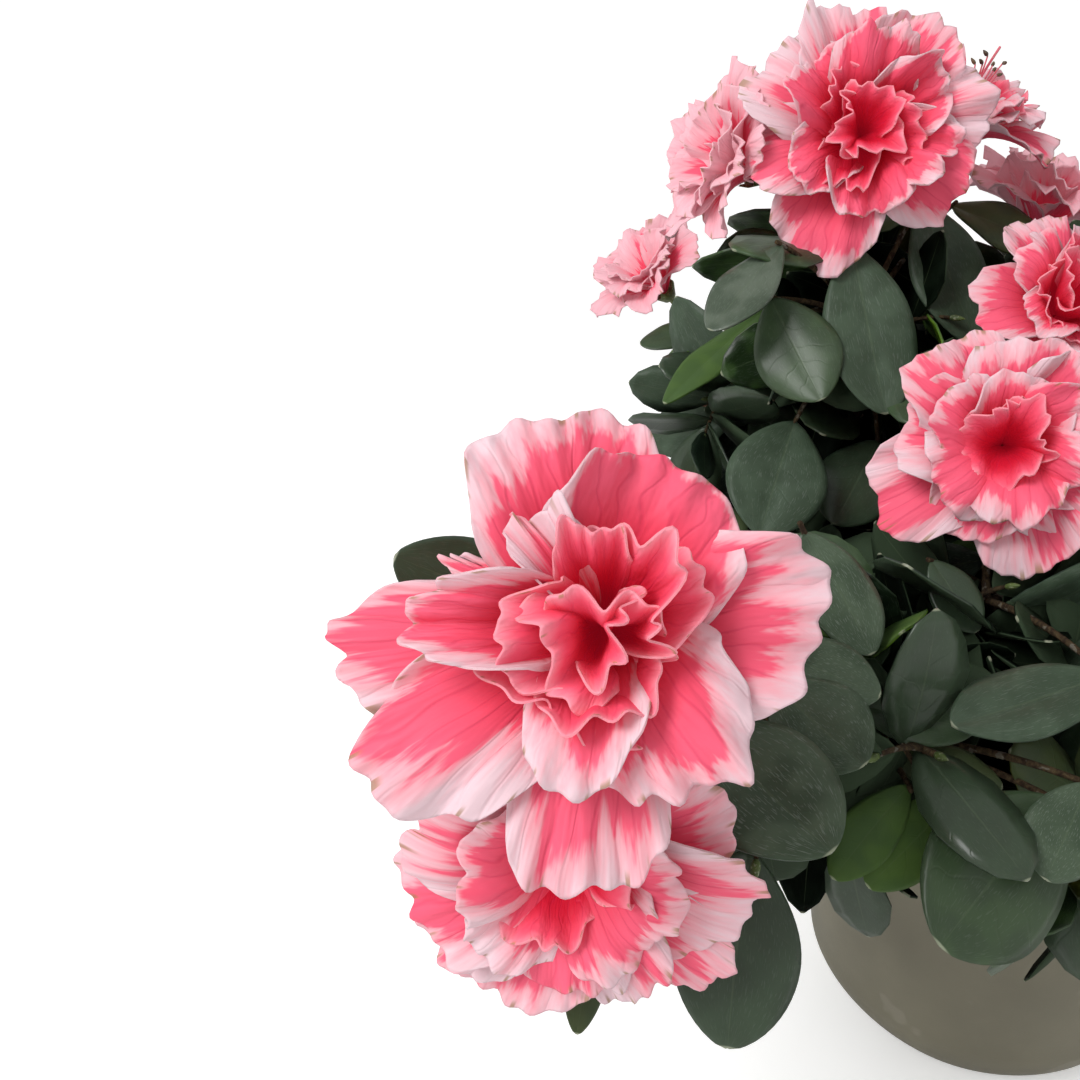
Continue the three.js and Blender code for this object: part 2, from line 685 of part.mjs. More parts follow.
function makeTruss(truss, seed) {
  const random = seeded(seed);
  const solids = truss.flowers.flatMap((flower, i) => [
    limb(truss.stalks[i], STALK_RADIUS, STALK_RADIUS, 4, 3),
    flowerSolid(flower, 2 * Math.PI * random()),
  ]);
  return mainPiece(joinAll(solids));
}

// The whole plant

const plant = new THREE.Group();

function addPiece(name, solid, colour) {
  const piece = new THREE.Mesh(toGeometry(solid), new THREE.MeshStandardMaterial(colour));
  piece.name = name;
  plant.add(piece);
}

addPiece("pot", makePot(), COLOURS.pot);
addPiece("potting_mix", makeSoil(), COLOURS.soil);
addPiece("trunk", makeTrunk(), COLOURS.bark);

const masses = MASSES.map(massFrame);
masses.forEach((mass, i) => (mass.line = boughLine(mass, i)));
const trusses = TRUSSES.map((truss) => trussFrame(truss, masses));
for (const truss of trusses) truss.line = flowerBoughLine(truss);

const boughSolid = (line, widen = 0) =>
  limb(line, BOUGH_BASE_RADIUS, BOUGH_TIP_RADIUS, LIMB_SIDES, LIMB_STEPS, widen);
const flowerBoughSolid = (line) =>
  limb(line, FLOWER_BOUGH_BASE_RADIUS, FLOWER_BOUGH_TIP_RADIUS, LIMB_SIDES, LIMB_STEPS);

// Each bough is cut clear of the trunk and of the boughs that left it lower down.
let taken = makeTrunk(CLEARANCE);
for (const { name, line } of masses) {
  addPiece(`bough_${name}`, mainPiece(boughSolid(line).subtract(taken)), COLOURS.bark);
  taken = taken.add(boughSolid(line, CLEARANCE));
}
for (const { name, line } of trusses) {
  addPiece(`flower_bough_${name}`, mainPiece(flowerBoughSolid(line).subtract(taken)), COLOURS.bark);
}

const loneLeaves = LONE_LEAVES.map((lone) => loneLeaf(lone, masses));
const world = {
  masses,
  loneLeaves,
  flowers: trusses.flatMap((truss) => truss.flowers),
  obstacles: [
    ...masses.flatMap((mass) => limbPoints(mass.line, BOUGH_BASE_RADIUS, BOUGH_TIP_RADIUS)),
    ...trusses.flatMap((truss) =>
      limbPoints(truss.line, FLOWER_BOUGH_BASE_RADIUS, FLOWER_BOUGH_TIP_RADIUS),
    ),
    ...trusses.flatMap((truss) =>
      truss.stalks.flatMap((line) => limbPoints(line, STALK_RADIUS, STALK_RADIUS)),
    ),
    ...loneLeaves.flatMap(({ leaf, twig }) => [
      ...leafPoints(leaf),
      ...limbPoints(twig, SHOOT_BASE_RADIUS, SHOOT_TIP_RADIUS).slice(LONE_TWIG_FREE),
    ]),
    ...limbPoints(trunkLine, TRUNK_FOOT_RADIUS + 3, TRUNK_TIP_RADIUS),
    ...rimPoints(),
  ],
};
for (const flower of world.flowers) flower.owner = nearestMass(flower.back, masses);

trusses.forEach((truss, i) =>
  addPiece(`bloom_${truss.name}`, makeTruss(truss, FLOWER_SEED + i), COLOURS.petal),
);
masses.forEach((mass, i) =>
  addPiece(`foliage_${mass.name}`, makeFoliage(mass, world, FOLIAGE_SEED + i), COLOURS.leaf),
);

export default plant;
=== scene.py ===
"""A pot-grown azalea in full bloom, dressed for the render.

The plant grows by the source's rule, written again here with the same places and seeds, and is carried on
to finer twigs, leaves and petals within the same reach. The growth is worked out in millimetres, and every
mesh is put down in metres, with its place in the mesh. The origin is the middle of the pot's underside.
"""

import functools
import math
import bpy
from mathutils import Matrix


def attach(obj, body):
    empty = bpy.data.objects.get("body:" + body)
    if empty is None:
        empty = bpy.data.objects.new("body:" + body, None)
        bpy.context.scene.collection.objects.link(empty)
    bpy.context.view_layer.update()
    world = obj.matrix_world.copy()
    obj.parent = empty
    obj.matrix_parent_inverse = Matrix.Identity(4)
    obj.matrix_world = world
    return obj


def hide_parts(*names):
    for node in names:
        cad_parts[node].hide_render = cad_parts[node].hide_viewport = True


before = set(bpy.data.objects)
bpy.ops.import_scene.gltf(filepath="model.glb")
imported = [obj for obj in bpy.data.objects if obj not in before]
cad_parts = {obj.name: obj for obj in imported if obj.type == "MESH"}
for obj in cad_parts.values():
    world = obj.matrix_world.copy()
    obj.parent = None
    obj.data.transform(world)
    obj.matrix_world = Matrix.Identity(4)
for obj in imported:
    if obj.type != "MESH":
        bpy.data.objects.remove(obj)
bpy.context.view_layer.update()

from types import SimpleNamespace

import bpy
import numpy as np
from bpy.props import FloatProperty, FloatVectorProperty, PointerProperty

bl_info = {
    "name": "Potted azalea",
    "version": (1, 0, 0),
    "blender": (4, 5, 0),
    "location": "3D View > Sidebar > Azalea",
    "description": "Grows a double-flowered azalea in its pot",
    "category": "Object",
}

MM = 0.001  # the growth is in millimetres and the meshes are in metres
UP = np.array([0.0, 0.0, 1.0])
GOLDEN_ANGLE = math.pi * (3 - math.sqrt(5))

# The photograph's viewpoint
CAMERA_AT = np.array([-143.2, -261.5, 269.4])
CAMERA_PITCH = math.radians(22)
CAMERA_PIXELS = 1080
FOCAL_PIXELS = 1000
SENSOR_WIDTH = 36.0

# The source's growth rule
CLEARANCE = 0.3
FOLIAGE_SEED = 300
SOIL_LEVEL = 80
SOIL_SLUMP = 3
SOIL_FLAT_RADIUS = 14
POT_HEIGHT = 92
POT_RIM_RADIUS = 64
POT_BELLY_RADIUS = 51
POT_BELLY_HEIGHT = 24
POT_FOOT_RADIUS = 36
POT_WALL = 1.8
LIP_DEPTH = 9
LIP_WIDTH = 1.6
DRAIN_COUNT = 6
DRAIN_RADIUS = 3.5
DRAIN_RING_RADIUS = 25
HUB_RADIUS = 13
TRUNK_HEIGHT = 60
TRUNK_FOOT_RADIUS = 7
TRUNK_TIP_RADIUS = 4.4
TRUNK_LEAN = 5
ROOT_FLARE = 0.45
ROOT_FLARE_HEIGHT = 7
ROOT_COUNT = 4
LOWEST_BOUGH = 0.32
HIGHEST_BOUGH = 0.97
BOUGH_RADII = (2.6, 1.6)
FLOWER_BOUGH_RADII = (1.5, 1.1)
FLOWER_BOUGH_START = 0.66
STALK_RADIUS = 1.1
SHOOTS_PER_MASS = 4
LEAVES_PER_SHOOT = 5
SHOOT_RADII = (1.5, 1.1)
LEAF_LENGTH = 45
LEAF_SPREAD = 0.22
LEAF_WIDTH_SHARE = 0.56
LEAF_BROADEST = 0.06
LEAF_THICKNESS = 1.1
LEAF_ROOT_DEPTH = 0.3
LOWEST_LEAF = 62
LONE_TWIG_START = 0.6
LONE_LEAF_START = 0.94
LONE_TWIG_FREE = 4
LEAF_TRIES = [(swing, shorter) for shorter in (1, 0.75) for swing in (0, 0.6, -0.6, 1.2)]
FLOWER_REACH = 0.52
FLOWER_DEPTH = 0.36

# Masses of foliage: direction round the axis in degrees, distance out, height and reach
MASSES = [
    ("low_front", 258, 64, 124, 50),
    ("low_right", 16, 80, 122, 54),
    ("low_back_left", 134, 78, 124, 54),
    ("low_front_right", 318, 78, 124, 54),
    ("low_back_right", 74, 78, 126, 54),
    ("low_left", 186, 78, 126, 52),
    ("mid_front_right", 300, 60, 182, 54),
    ("back_left", 140, 92, 188, 48),
    ("front_left_spray", 226, 160, 164, 50),
    ("mid_right", 10, 68, 184, 56),
    ("front_left", 224, 104, 142, 50),
    ("mid_back", 82, 64, 186, 56),
    ("mid_front_left", 228, 58, 168, 44),
    ("top_left", 160, 62, 230, 48),
    ("top_right", 40, 30, 230, 52),
]

# Trusses: each flower's middle, the way it faces, its width and the habit of its petals
TRUSSES = {
    "front_left": [
        ((-139, -137, 203), (-0.05, -0.88, 0.46), 74, "hero"),
        ((-142, -130, 158), (-0.1, -0.94, 0.05), 64, "under"),
    ],
    "top_left": [
        ((-61, 15, 271), (-0.25, -0.93, 0.2), 60, "crest"),
        ((-94, 34, 264), (-0.85, -0.3, 0.3), 50, "pale"),
        ((-24, 40, 278), (0.35, -0.35, 0.85), 54, "open"),
    ],
    "back_left": [((-107, 96, 227), (-0.6, -0.3, 0.65), 48, "pale")],
    "front": [
        ((-36, -41, 204), (-0.3, -0.9, 0.3), 62, "face"),
        ((-8, -4, 231), (0.05, -0.8, 0.6), 54, "double"),
    ],
    "top_back": [((10, 56, 254), (0.1, -0.1, 0.95), 58, "pale")],
    "front_right": [((58, -84, 184), (0.4, -0.82, 0.4), 66, "double")],
    "right": [
        ((124, -6, 176), (0.88, -0.15, 0.35), 66, "ruffled"),
        ((98, 26, 216), (0.7, 0.2, 0.65), 58, "open"),
    ],
    "back_right": [((64, 112, 168), (0.4, 0.85, 0.3), 66, "double")],
    "back": [((-34, 114, 206), (-0.2, 0.85, 0.5), 60, "open")],
    "left": [((-122, 4, 148), (-0.92, -0.25, 0.2), 58, "double")],
    "low_right": [((108, -78, 128), (0.75, -0.62, 0.1), 58, "ruffled")],
}

# The source's single leaves: foot, tip, the way the upper face looks, width share, and the tint
LONE_LEAVES = [
    ((-116, -106, 172), (-97, -132, 162), (0.2, -0.8, 0.55), 0.72, "hairy"),
    ((-25, -82, 165), (-62, -94, 161), (0, -0.35, 0.93), 0.42, "grey"),
    ((-38, -98, 146), (-70, -117, 130), (-0.2, -0.9, 0.4), 0.7, "mid"),
    ((-104, -108, 143), (-110, -128, 116), (0, -0.85, 0.5), 0.66, "dark"),
    ((-73, 10, 193), (-85, -12, 171), (-0.1, -0.85, 0.5), 0.75, "grey"),
    ((-83, 11, 229), (-70, -6, 205), (-0.3, -0.85, 0.4), 0.68, "mid"),
    ((-60, 16, 243), (-54, -8, 202), (0, -0.9, 0.4), 0.5, "grey"),
    ((-24, 40, 252), (2, 30, 240), (0.1, -0.6, 0.8), 0.6, "olive"),
    ((-82, 8, 244), (-100, -4, 223), (-0.6, -0.7, 0.3), 0.5, "silver"),
    ((-142, -106, 192), (-167, -110, 206), (0, -0.9, 0.4), 0.5, "dark"),
]

# More single leaves, in the scene only, that show among the flowers from the front
FINE_LONE_LEAVES = [
    ((-99, -95, 174), (-86, -112, 165), (-0.1, -0.8, 0.6), 0.8, "hairy"),
    ((-100, -87, 178), (-79, -97, 171), (0, -0.6, 0.8), 0.6, "hairy"),
    ((-90, -70, 196), (-77, -88, 176), (0.2, -0.85, 0.5), 0.55, "hairy"),
    ((-77, -78, 158), (-54, -86, 156), (-0.1, -0.6, 0.8), 0.5, "mid"),
    ((-70, -86, 149), (-48, -90, 146), (-0.1, -0.6, 0.8), 0.5, "olive"),
    ((-36, -103, 154), (-49, -113, 141), (-0.2, -0.9, 0.4), 0.7, "hairy"),
    ((-69, -95, 148), (-88, -109, 139), (-0.2, -0.7, 0.7), 0.4, "young"),
    ((-59, -96, 146), (-79, -107, 134), (-0.1, -0.9, 0.4), 0.5, "young"),
    ((-134, -109, 133), (-136, -125, 116), (0, -0.8, 0.6), 0.32, "olive"),
    ((-45, 17, 185), (-59, 4, 167), (-0.1, -0.85, 0.5), 0.8, "dark"),
    ((-37, 30, 254), (-25, 11, 217), (0.1, -0.9, 0.4), 0.5, "grey"),
    ((-77, 43, 221), (-108, 23, 198), (-0.3, -0.5, 0.8), 0.26, "young"),
    ((-90, 72, 213), (-110, 69, 205), (-0.2, -0.5, 0.8), 0.5, "mid"),
    ((-52, -45, 177), (-42, -56, 164), (0, -0.8, 0.6), 0.6, "dark"),
]

# Where the plant leaves open air when it is seen from the front: left, top, right and bottom in pixels
OPEN_AIR = [
    (-5000, -5000, 392, 5000),
    (-5000, -5000, 585, 395),
    (-5000, -5000, 688, 185),
    (-5000, 1010, 625, 5000),
    (-5000, 1062, 830, 5000),
    (772, 880, 822, 5000),
    (1000, -5000, 1095, 168),
]

# Petals of the flowers that show best. Each row has the direction in degrees, clockwise from the top; how
# far out and ahead the tip reaches, as shares of the flower's width; half the spread in degrees; how much
# the sides fall short of the tip; how much the petal arches, cups and ruffles; how far it wraps round the
# flower's axis; and the power that draws its pink in towards the margin or lets it run out.
CHOSEN_PETALS = {
    "hero": [
        (-15, 0.43, 0, 35, 0.5, 0.08, 0.02, 0.03, 0, 2.1),
        (26, 0.35, 0.05, 38, 0.5, 0.1, 0.05, 0.036, 0.1, 2.6),
        (87, 0.435, 0, 31, 0.45, 0.07, -0.02, 0.03, 0, 1.6),
        (144, 0.35, 0.05, 31, 0.5, 0.1, 0.04, 0.04, 0, 2.2),
        (183, 0.525, -0.02, 28, 0.62, 0.06, 0, 0.026, 0, 1.1),
        (232, 0.52, 0.03, 26, 0.55, 0.08, 0.04, 0.03, 0, 1.3),
        (262, 0.53, -0.05, 23, 0.5, 0.06, 0, 0.03, 0, 0.9),
        (292, 0.32, -0.02, 9, 0.6, 0.06, 0, 0.02, 0, 2.6),
        (188, 0.325, 0.12, 30, 0.8, 0.1, 0.06, 0.034, 0.1, 2),
        (269, 0.355, 0.13, 15, 0.5, 0.08, 1.1, 0.03, 0.1, 2.6),
        (-34, 0.25, 0.13, 11, 0.35, 0.06, 0.1, 0.05, 0.1, 0.7),
        (72, 0.185, 0.14, 27, 0.5, 0.04, 0.2, 0.035, 0.45, 2.4),
        (204, 0.2, 0.13, 37, 0.25, 0, 0, 0.03, 0.92, 2.4),
        (176, 0.14, 0.16, 34, 0.25, 0, 0, 0.034, 0.95, 2.4),
        (258, 0.165, 0.18, 25, 0.4, 0, 0.15, 0.035, 0.35, 2.2),
        (-9, 0.175, 0.18, 16, 0.3, 0, 0.6, 0.022, 0.5, 2.2),
        (60, 0.12, 0.21, 27, 0.35, 0, 0, 0.055, 0.85, 2.2),
        (238, 0.125, 0.17, 34, 0.35, 0.02, 0.05, 0.06, 0.3, 2),
        (125, 0.075, 0.19, 34, 0.35, 0.02, 0.1, 0.06, 0.5, 2.2),
        (0, 0.06, 0.2, 40, 0.35, 0.02, 0.2, 0.05, 0.3, 2.2),
    ],
    "under": [
        (101, 0.49, 0.01, 33, 0.45, 0.05, 0.05, 0.016, 0, 1),
        (131, 0.53, -0.04, 27, 0.5, 0.05, 0, 0.018, 0, 0.8),
        (152, 0.43, 0.03, 25, 0.55, 0.05, 0.05, 0.02, 0, 1),
        (173, 0.36, 0.06, 28, 0.5, 0.05, 0.05, 0.024, 0, 1.2),
        (204, 0.49, 0, 36, 0.45, 0.05, 0, 0.02, 0, 1),
        (230, 0.5, -0.04, 30, 0.5, 0.05, 0, 0.024, 0, 1),
        (254, 0.45, 0.02, 34, 0.45, 0.05, 0, 0.022, 0, 1.2),
        (286, 0.42, 0.06, 34, 0.5, 0.05, 0, 0.022, 0, 0.55),
        (325, 0.4, 0, 38, 0.5, 0.05, 0, 0.024, 0, 1.2),
        (12, 0.42, 0, 38, 0.5, 0.05, 0, 0.024, 0, 1.2),
        (60, 0.44, 0, 36, 0.5, 0.05, 0, 0.024, 0, 1.2),
        (222, 0.31, 0.1, 32, 0.5, 0.05, 0.05, 0.03, 0.1, 1.5),
        (140, 0.29, 0.11, 30, 0.5, 0.05, 0.1, 0.03, 0.1, 1.5),
        (80, 0.3, 0.11, 34, 0.5, 0.05, 0.1, 0.03, 0.1, 1.5),
        (280, 0.28, 0.12, 34, 0.5, 0.05, 0.1, 0.03, 0.2, 1.5),
        (205, 0.16, 0.13, 36, 0.35, 0, 0, 0.04, 0.8, 2.4),
        (60, 0.14, 0.14, 40, 0.35, 0, 0, 0.04, 0.3, 2.4),
    ],
    "crest": [
        (196, 0.6, -0.04, 34, 0.45, 0.08, 0, 0.04, 0, 1.9),
        (125, 0.52, 0, 32, 0.45, 0.07, 0.06, 0.05, 0, 1.5),
        (80, 0.52, 0, 32, 0.45, 0.07, 0.06, 0.045, 0, 0.8),
        (32, 0.52, 0, 32, 0.45, 0.07, 0, 0.045, 0, 1.2),
        (-18, 0.54, 0, 32, 0.45, 0.07, 0, 0.05, 0, 1),
        (-62, 0.54, 0.02, 32, 0.45, 0.07, 0.06, 0.045, 0, 0.8),
        (250, 0.47, 0.04, 32, 0.45, 0.08, 0.16, 0.034, 0, 1.6),
        (165, 0.38, 0.12, 28, 0.4, 0.06, 0.1, 0.075, 0.2, 3.6),
        (112, 0.4, 0.13, 28, 0.4, 0.06, 0.2, 0.075, 0.3, 3.3),
        (58, 0.37, 0.14, 28, 0.4, 0.06, 0.15, 0.075, 0.3, 3.3),
        (8, 0.38, 0.14, 29, 0.4, 0.06, 0.1, 0.075, 0.2, 3),
        (-50, 0.36, 0.15, 28, 0.4, 0.06, 0.2, 0.065, 0.2, 3.3),
        (232, 0.33, 0.15, 28, 0.4, 0.04, 0.3, 0.05, 0.3, 3.8),
        (195, 0.22, 0.15, 30, 0.3, 0.02, 0.1, 0.065, 0.6, 3.6),
        (95, 0.23, 0.16, 30, 0.3, 0.02, 0.1, 0.065, 0.5, 3.6),
        (-30, 0.2, 0.17, 32, 0.3, 0.02, 0.1, 0.065, 0.6, 3.6),
        (150, 0.13, 0.19, 34, 0.3, 0, 0.1, 0.065, 0.4, 3.6),
        (270, 0.12, 0.19, 34, 0.3, 0, 0.1, 0.065, 0.4, 3.6),
        (30, 0.1, 0.21, 36, 0.3, 0, 0.1, 0.06, 0.4, 3.6),
    ],
    "face": [
        (236, 0.53, 0, 34, 0.5, 0.05, 0, 0.022, 0, 0.6),
        (161, 0.5, -0.02, 34, 0.5, 0.05, 0, 0.026, 0, 0.8),
        (130, 0.46, 0.02, 32, 0.5, 0.05, 0.05, 0.036, 0, 1.2),
        (93, 0.44, 0.04, 34, 0.45, 0.05, 0.05, 0.04, 0, 1.4),
        (50, 0.44, 0.02, 34, 0.45, 0.05, 0.05, 0.04, 0, 1.4),
        (8, 0.39, 0.06, 38, 0.45, 0.05, 0.05, 0.04, 0, 1.8),
        (318, 0.46, 0.03, 36, 0.45, 0.05, 0.05, 0.046, 0, 1.3),
        (276, 0.4, 0.06, 34, 0.45, 0.05, 0.1, 0.05, 0, 1.4),
        (200, 0.38, 0.04, 34, 0.45, 0.05, 0.1, 0.04, 0, 1.4),
        (176, 0.29, 0.12, 38, 0.4, 0.05, 0.15, 0.055, 0.1, 1.6),
        (232, 0.31, 0.12, 34, 0.4, 0.05, 0.15, 0.055, 0.1, 1.6),
        (300, 0.29, 0.13, 36, 0.4, 0.05, 0.15, 0.055, 0.2, 1.8),
        (5, 0.25, 0.13, 38, 0.4, 0.05, 0.2, 0.05, 0.2, 1.8),
        (72, 0.28, 0.13, 38, 0.4, 0.05, 0.15, 0.055, 0.2, 1.8),
        (125, 0.27, 0.13, 34, 0.4, 0.05, 0.15, 0.055, 0.2, 1.8),
        (318, 0.16, 0.17, 38, 0.35, 0.02, 0.1, 0.06, 0.5, 2.2),
        (45, 0.13, 0.18, 38, 0.35, 0.02, 0.1, 0.055, 0.6, 2.2),
        (190, 0.14, 0.15, 44, 0.35, 0.02, 0.1, 0.06, 0.4, 2.2),
    ],
}
# How far right of and above the flower's middle its throat is
HEARTS = {"hero": (4.2, 3.1), "under": (3.5, 1)}

# Whorls of the other flowers: the number of petals, and then the same values from how far out on
HABITS = {
    "double": [
        (5, 0.51, -0.03, 36, 0.5, 0.07, 0, 0.034, 0, 1.2),
        (5, 0.38, 0.1, 30, 0.5, 0.07, 0.1, 0.042, 0.2, 1.6),
        (4, 0.22, 0.14, 34, 0.3, 0.02, 0.05, 0.045, 0.75, 2.2),
        (3, 0.13, 0.18, 34, 0.3, 0, 0, 0.045, 0.9, 2.2),
    ],
    "ruffled": [
        (5, 0.51, -0.02, 36, 0.5, 0.06, 0.04, 0.042, 0, 1.3),
        (6, 0.4, 0.11, 28, 0.5, 0.06, 0.12, 0.05, 0.2, 1.7),
        (5, 0.26, 0.16, 31, 0.35, 0.03, 0.1, 0.055, 0.6, 2),
        (3, 0.15, 0.17, 34, 0.3, 0, 0, 0.05, 0.9, 2.2),
    ],
    "open": [
        (5, 0.51, -0.01, 36, 0.5, 0.05, 0.06, 0.04, 0, 1.2),
        (6, 0.38, 0.1, 29, 0.5, 0.06, 0.14, 0.05, 0.2, 1.6),
        (4, 0.23, 0.13, 31, 0.35, 0.02, 0.1, 0.05, 0.7, 2.2),
    ],
    "pale": [
        (5, 0.52, 0.02, 37, 0.5, 0.05, 0.2, 0.045, 0.1, 0.9),
        (5, 0.4, 0.12, 33, 0.5, 0.06, 0.2, 0.05, 0.3, 0.9),
        (4, 0.25, 0.16, 34, 0.4, 0.02, 0.1, 0.05, 0.6, 0.9),
    ],
}


# Geometry helpers


def unit(vectors):
    """Vectors divided by their lengths."""
    return vectors / np.linalg.norm(vectors, axis=-1, keepdims=True)


def lerp(a, b, t):
    """The value that lies a share t of the way from a to b."""
    return a + (b - a) * t


def smooth(low, high, value):
    """0 below low, 1 above high, and an S-shaped rise between them."""
    t = np.clip((value - low) / (high - low), 0, 1)
    return t * t * (3 - 2 * t)


def seeded(seed):
    """A source of numbers from 0 to 1 that are the same on every run."""

    def numbers(state):
        while True:
            state = (state * 1664525 + 1013904223) & 0xFFFFFFFF
            yield state / 4294967296

    return functools.partial(next, numbers((seed * 2654435761) & 0xFFFFFFFF))


def cross_directions(tangent):
    """Two directions at right angles to a tangent: one level, and one that leans up."""
    side = np.cross(tangent, UP)
    if np.linalg.norm(side) < 0.05:
        side = np.array([1.0, 0.0, 0.0])
    side = unit(side)
    return side, np.cross(side, tangent)


def way_out(tangent, turn):
    """The direction at right angles to a tangent, turned round it by an angle."""
    side, lift = cross_directions(tangent)
    return math.cos(turn) * side + math.sin(turn) * lift


def around_axis(degrees, radius, height):
    """The place at an angle round the plant's axis, a distance out from it and a height."""
    angle = np.radians(degrees)
    places = np.broadcast_arrays(radius * np.cos(angle), radius * np.sin(angle), height)
    return np.stack(places, axis=-1)


class Curve:
    """A smooth line drawn by its control points: neighbours are blended until one point is left."""

    def __init__(self, *controls):
        self.controls = [np.asarray(control, float) for control in controls]

    def blended(self, t, left):
        """The control points at t, blended until so many of them are left."""
        rows = self.controls
        t = np.asarray(t, float)[..., None]
        while len(rows) > left:
            rows = [lerp(a, b, t) for a, b in zip(rows, rows[1:])]
        return rows

    def point(self, t):
        """The place at t."""
        return self.blended(t, 1)[0]

    def tangent(self, t):
        """The way that the line runs at t."""
        before, after = self.blended(t, 2)
        return unit(after - before)

    def length(self):
        """How long the line is, from short straight steps."""
        return np.linalg.norm(np.diff(self.point(np.linspace(0, 1, 201)), axis=0), axis=1).sum()


# The plant's framework, as the source has it

TRUNK_LINE = Curve(
    (0, 0, SOIL_LEVEL + CLEARANCE),
    (0, 0, SOIL_LEVEL + TRUNK_HEIGHT / 2),
    (-TRUNK_LEAN, TRUNK_LEAN / 2, SOIL_LEVEL + TRUNK_HEIGHT),
)
CROWN_HEART = np.array([0.0, 0.0, 140.0])


def mass_frame(order, name, angle, out, height, reach):
    """A mass with its middle, the way it grows, its foot and the line of its bough."""
    centre = around_axis(angle, out, height)
    outward = unit(centre - CROWN_HEART)
    foot = centre - 0.5 * reach * outward
    start = TRUNK_LINE.point(lerp(LOWEST_BOUGH, HIGHEST_BOUGH, order / (len(MASSES) - 1)))
    out_level = unit(centre * (1, 1, 0))
    first = start + 14 * out_level + 0.35 * max(foot[2] - start[2], 12) * UP
    line = Curve(start, first, foot - 14 * outward + 4 * UP, foot)
    return SimpleNamespace(
        name=name, order=order, centre=centre, outward=outward, reach=reach, foot=foot, line=line
    )


def flower_frame(at, faces, width, habit):
    """A flower with its middle, the way it faces and the foot of its tube."""
    facing = unit(np.array(faces, float))
    centre = np.array(at, float)
    back = centre - FLOWER_DEPTH * width * facing
    return SimpleNamespace(centre=centre, facing=facing, width=width, back=back, habit=habit)


def nearest_mass(place, masses):
    """The mass whose middle is nearest to a place."""
    return min(masses, key=lambda mass: np.linalg.norm(mass.centre - place))


def truss_frame(name, flowers, masses):
    """A truss: its flowers, the fork they share, their stalks, and the bough that carries it."""
    flowers = [flower_frame(*flower) for flower in flowers]
    parent = nearest_mass(flowers[0].back, masses)
    direction = unit(sum(flower.facing for flower in flowers))
    meeting = sum(flower.back for flower in flowers) / len(flowers)
    fork = meeting - (12 if len(flowers) > 1 else 5) * direction
    for flower in flowers:
        flower.stalk = Curve(
            fork,
            fork + 6 * direction,
            flower.back - 4 * flower.facing,
            flower.centre - 0.33 * flower.width * flower.facing,
        )
        flower.owner = nearest_mass(flower.back, masses)
    start = parent.line.point(FLOWER_BOUGH_START)
    end = fork - CLEARANCE * direction
    reach = np.linalg.norm(end - start)
    away = end - parent.foot
    away = unit(away - away.dot(parent.outward) * parent.outward)
    first = start + 0.28 * reach * away + 0.12 * reach * parent.outward
    line = Curve(start, first, end - 0.3 * reach * direction, end)
    return SimpleNamespace(name=name, flowers=flowers, line=line)


def shoot_line(start, end):
    """A shoot from a start to an end, lifted in its middle."""
    middle = 0.5 * (start + end) + 0.12 * np.linalg.norm(end - start) * UP
    return Curve(start, middle, end)


def stem_line(mass):
    """The stem that runs on from the bough's tip through the middle of its mass."""
    onward = mass.line.tangent(1)
    start = mass.foot + CLEARANCE * onward
    return Curve(start, start + 8 * onward, mass.centre + 0.1 * mass.reach * mass.outward)


# Leaves and what they keep clear of


def leaf_half_width(u):
    """Half the width of the source's leaf at u, as a share of its greatest half width."""
    broadest = 0.5 + LEAF_BROADEST
    return np.where(u < broadest, u / broadest, (1 - u) / (1 - broadest))


def leaf_place(leaf, u, v):
    """A leaf's middle sheet: along it by u, across it by v, drooping to its tip and its edges."""
    u, v = np.asarray(u, float)[..., None], np.asarray(v, float)[..., None]
    droop = -leaf.droop * u * u - 0.12 * leaf.width * v * v
    across = 0.5 * leaf.width * v * leaf.across
    return leaf.foot + leaf.length * u * leaf.tipward + across + droop * leaf.upper


SAMPLE_SIDES = [(u, side * leaf_half_width(u)) for u in (0.2, 0.5, 0.75, 0.92) for side in (-1, 1)]
LEAF_SAMPLES = np.array([(0.3, 0), (0.65, 0), (1, 0), *SAMPLE_SIDES], float)


def spheres(places, radii):
    """Places with their radii, one to a row."""
    return np.column_stack([places, np.broadcast_to(radii, len(places))])


def limb_points(line, radii):
    """Points every 2 mm down the middle of a limb, with its radius there."""
    count = math.ceil(line.length() / 2)
    t = np.arange(count + 1) / count
    return spheres(line.point(t), lerp(radii[0], radii[1], t))


def leaf_points(leaf):
    """Points all over the outer part of a leaf, which later leaves keep clear of."""
    u, side = np.meshgrid([0.25, 0.4, 0.55, 0.7, 0.85, 1], [-0.8, -0.4, 0, 0.4, 0.8], indexing="ij")
    places = leaf_place(leaf, u, side * leaf_half_width(u)).reshape(-1, 3)
    return spheres(places, 0.5 * LEAF_THICKNESS)


def inside_mass(places, mass, masses):
    """Within the reach of a mass, and nearer to its middle than to that of any other."""
    own = np.linalg.norm(places - mass.centre, axis=-1)
    inside = own <= mass.reach
    for other in masses:
        if other is not mass:
            apart = np.linalg.norm(other.centre - mass.centre)
            far = np.linalg.norm(places - other.centre, axis=-1)
            inside &= (far**2 - own**2) / (2 * apart) > 0.7
    return inside


def clear_of_flowers(places, flowers, margin):
    """Outside every flower's space, and not in front of one, where it would hide it."""
    clear = np.ones(len(places), bool)
    for flower in flowers:
        offset = places - flower.centre
        ahead = offset @ flower.facing
        beside = np.sqrt(np.maximum(0, (offset**2).sum(-1) - ahead**2))
        reach = FLOWER_REACH * flower.width + margin
        depth = FLOWER_DEPTH * flower.width + margin
        hides = (ahead > 0) & (ahead < 1.6 * flower.width)
        hides &= beside < 0.45 * flower.width + 0.15 * ahead
        clear &= ((beside / reach) ** 2 + (ahead / depth) ** 2 >= 1) & ~hides
    return clear


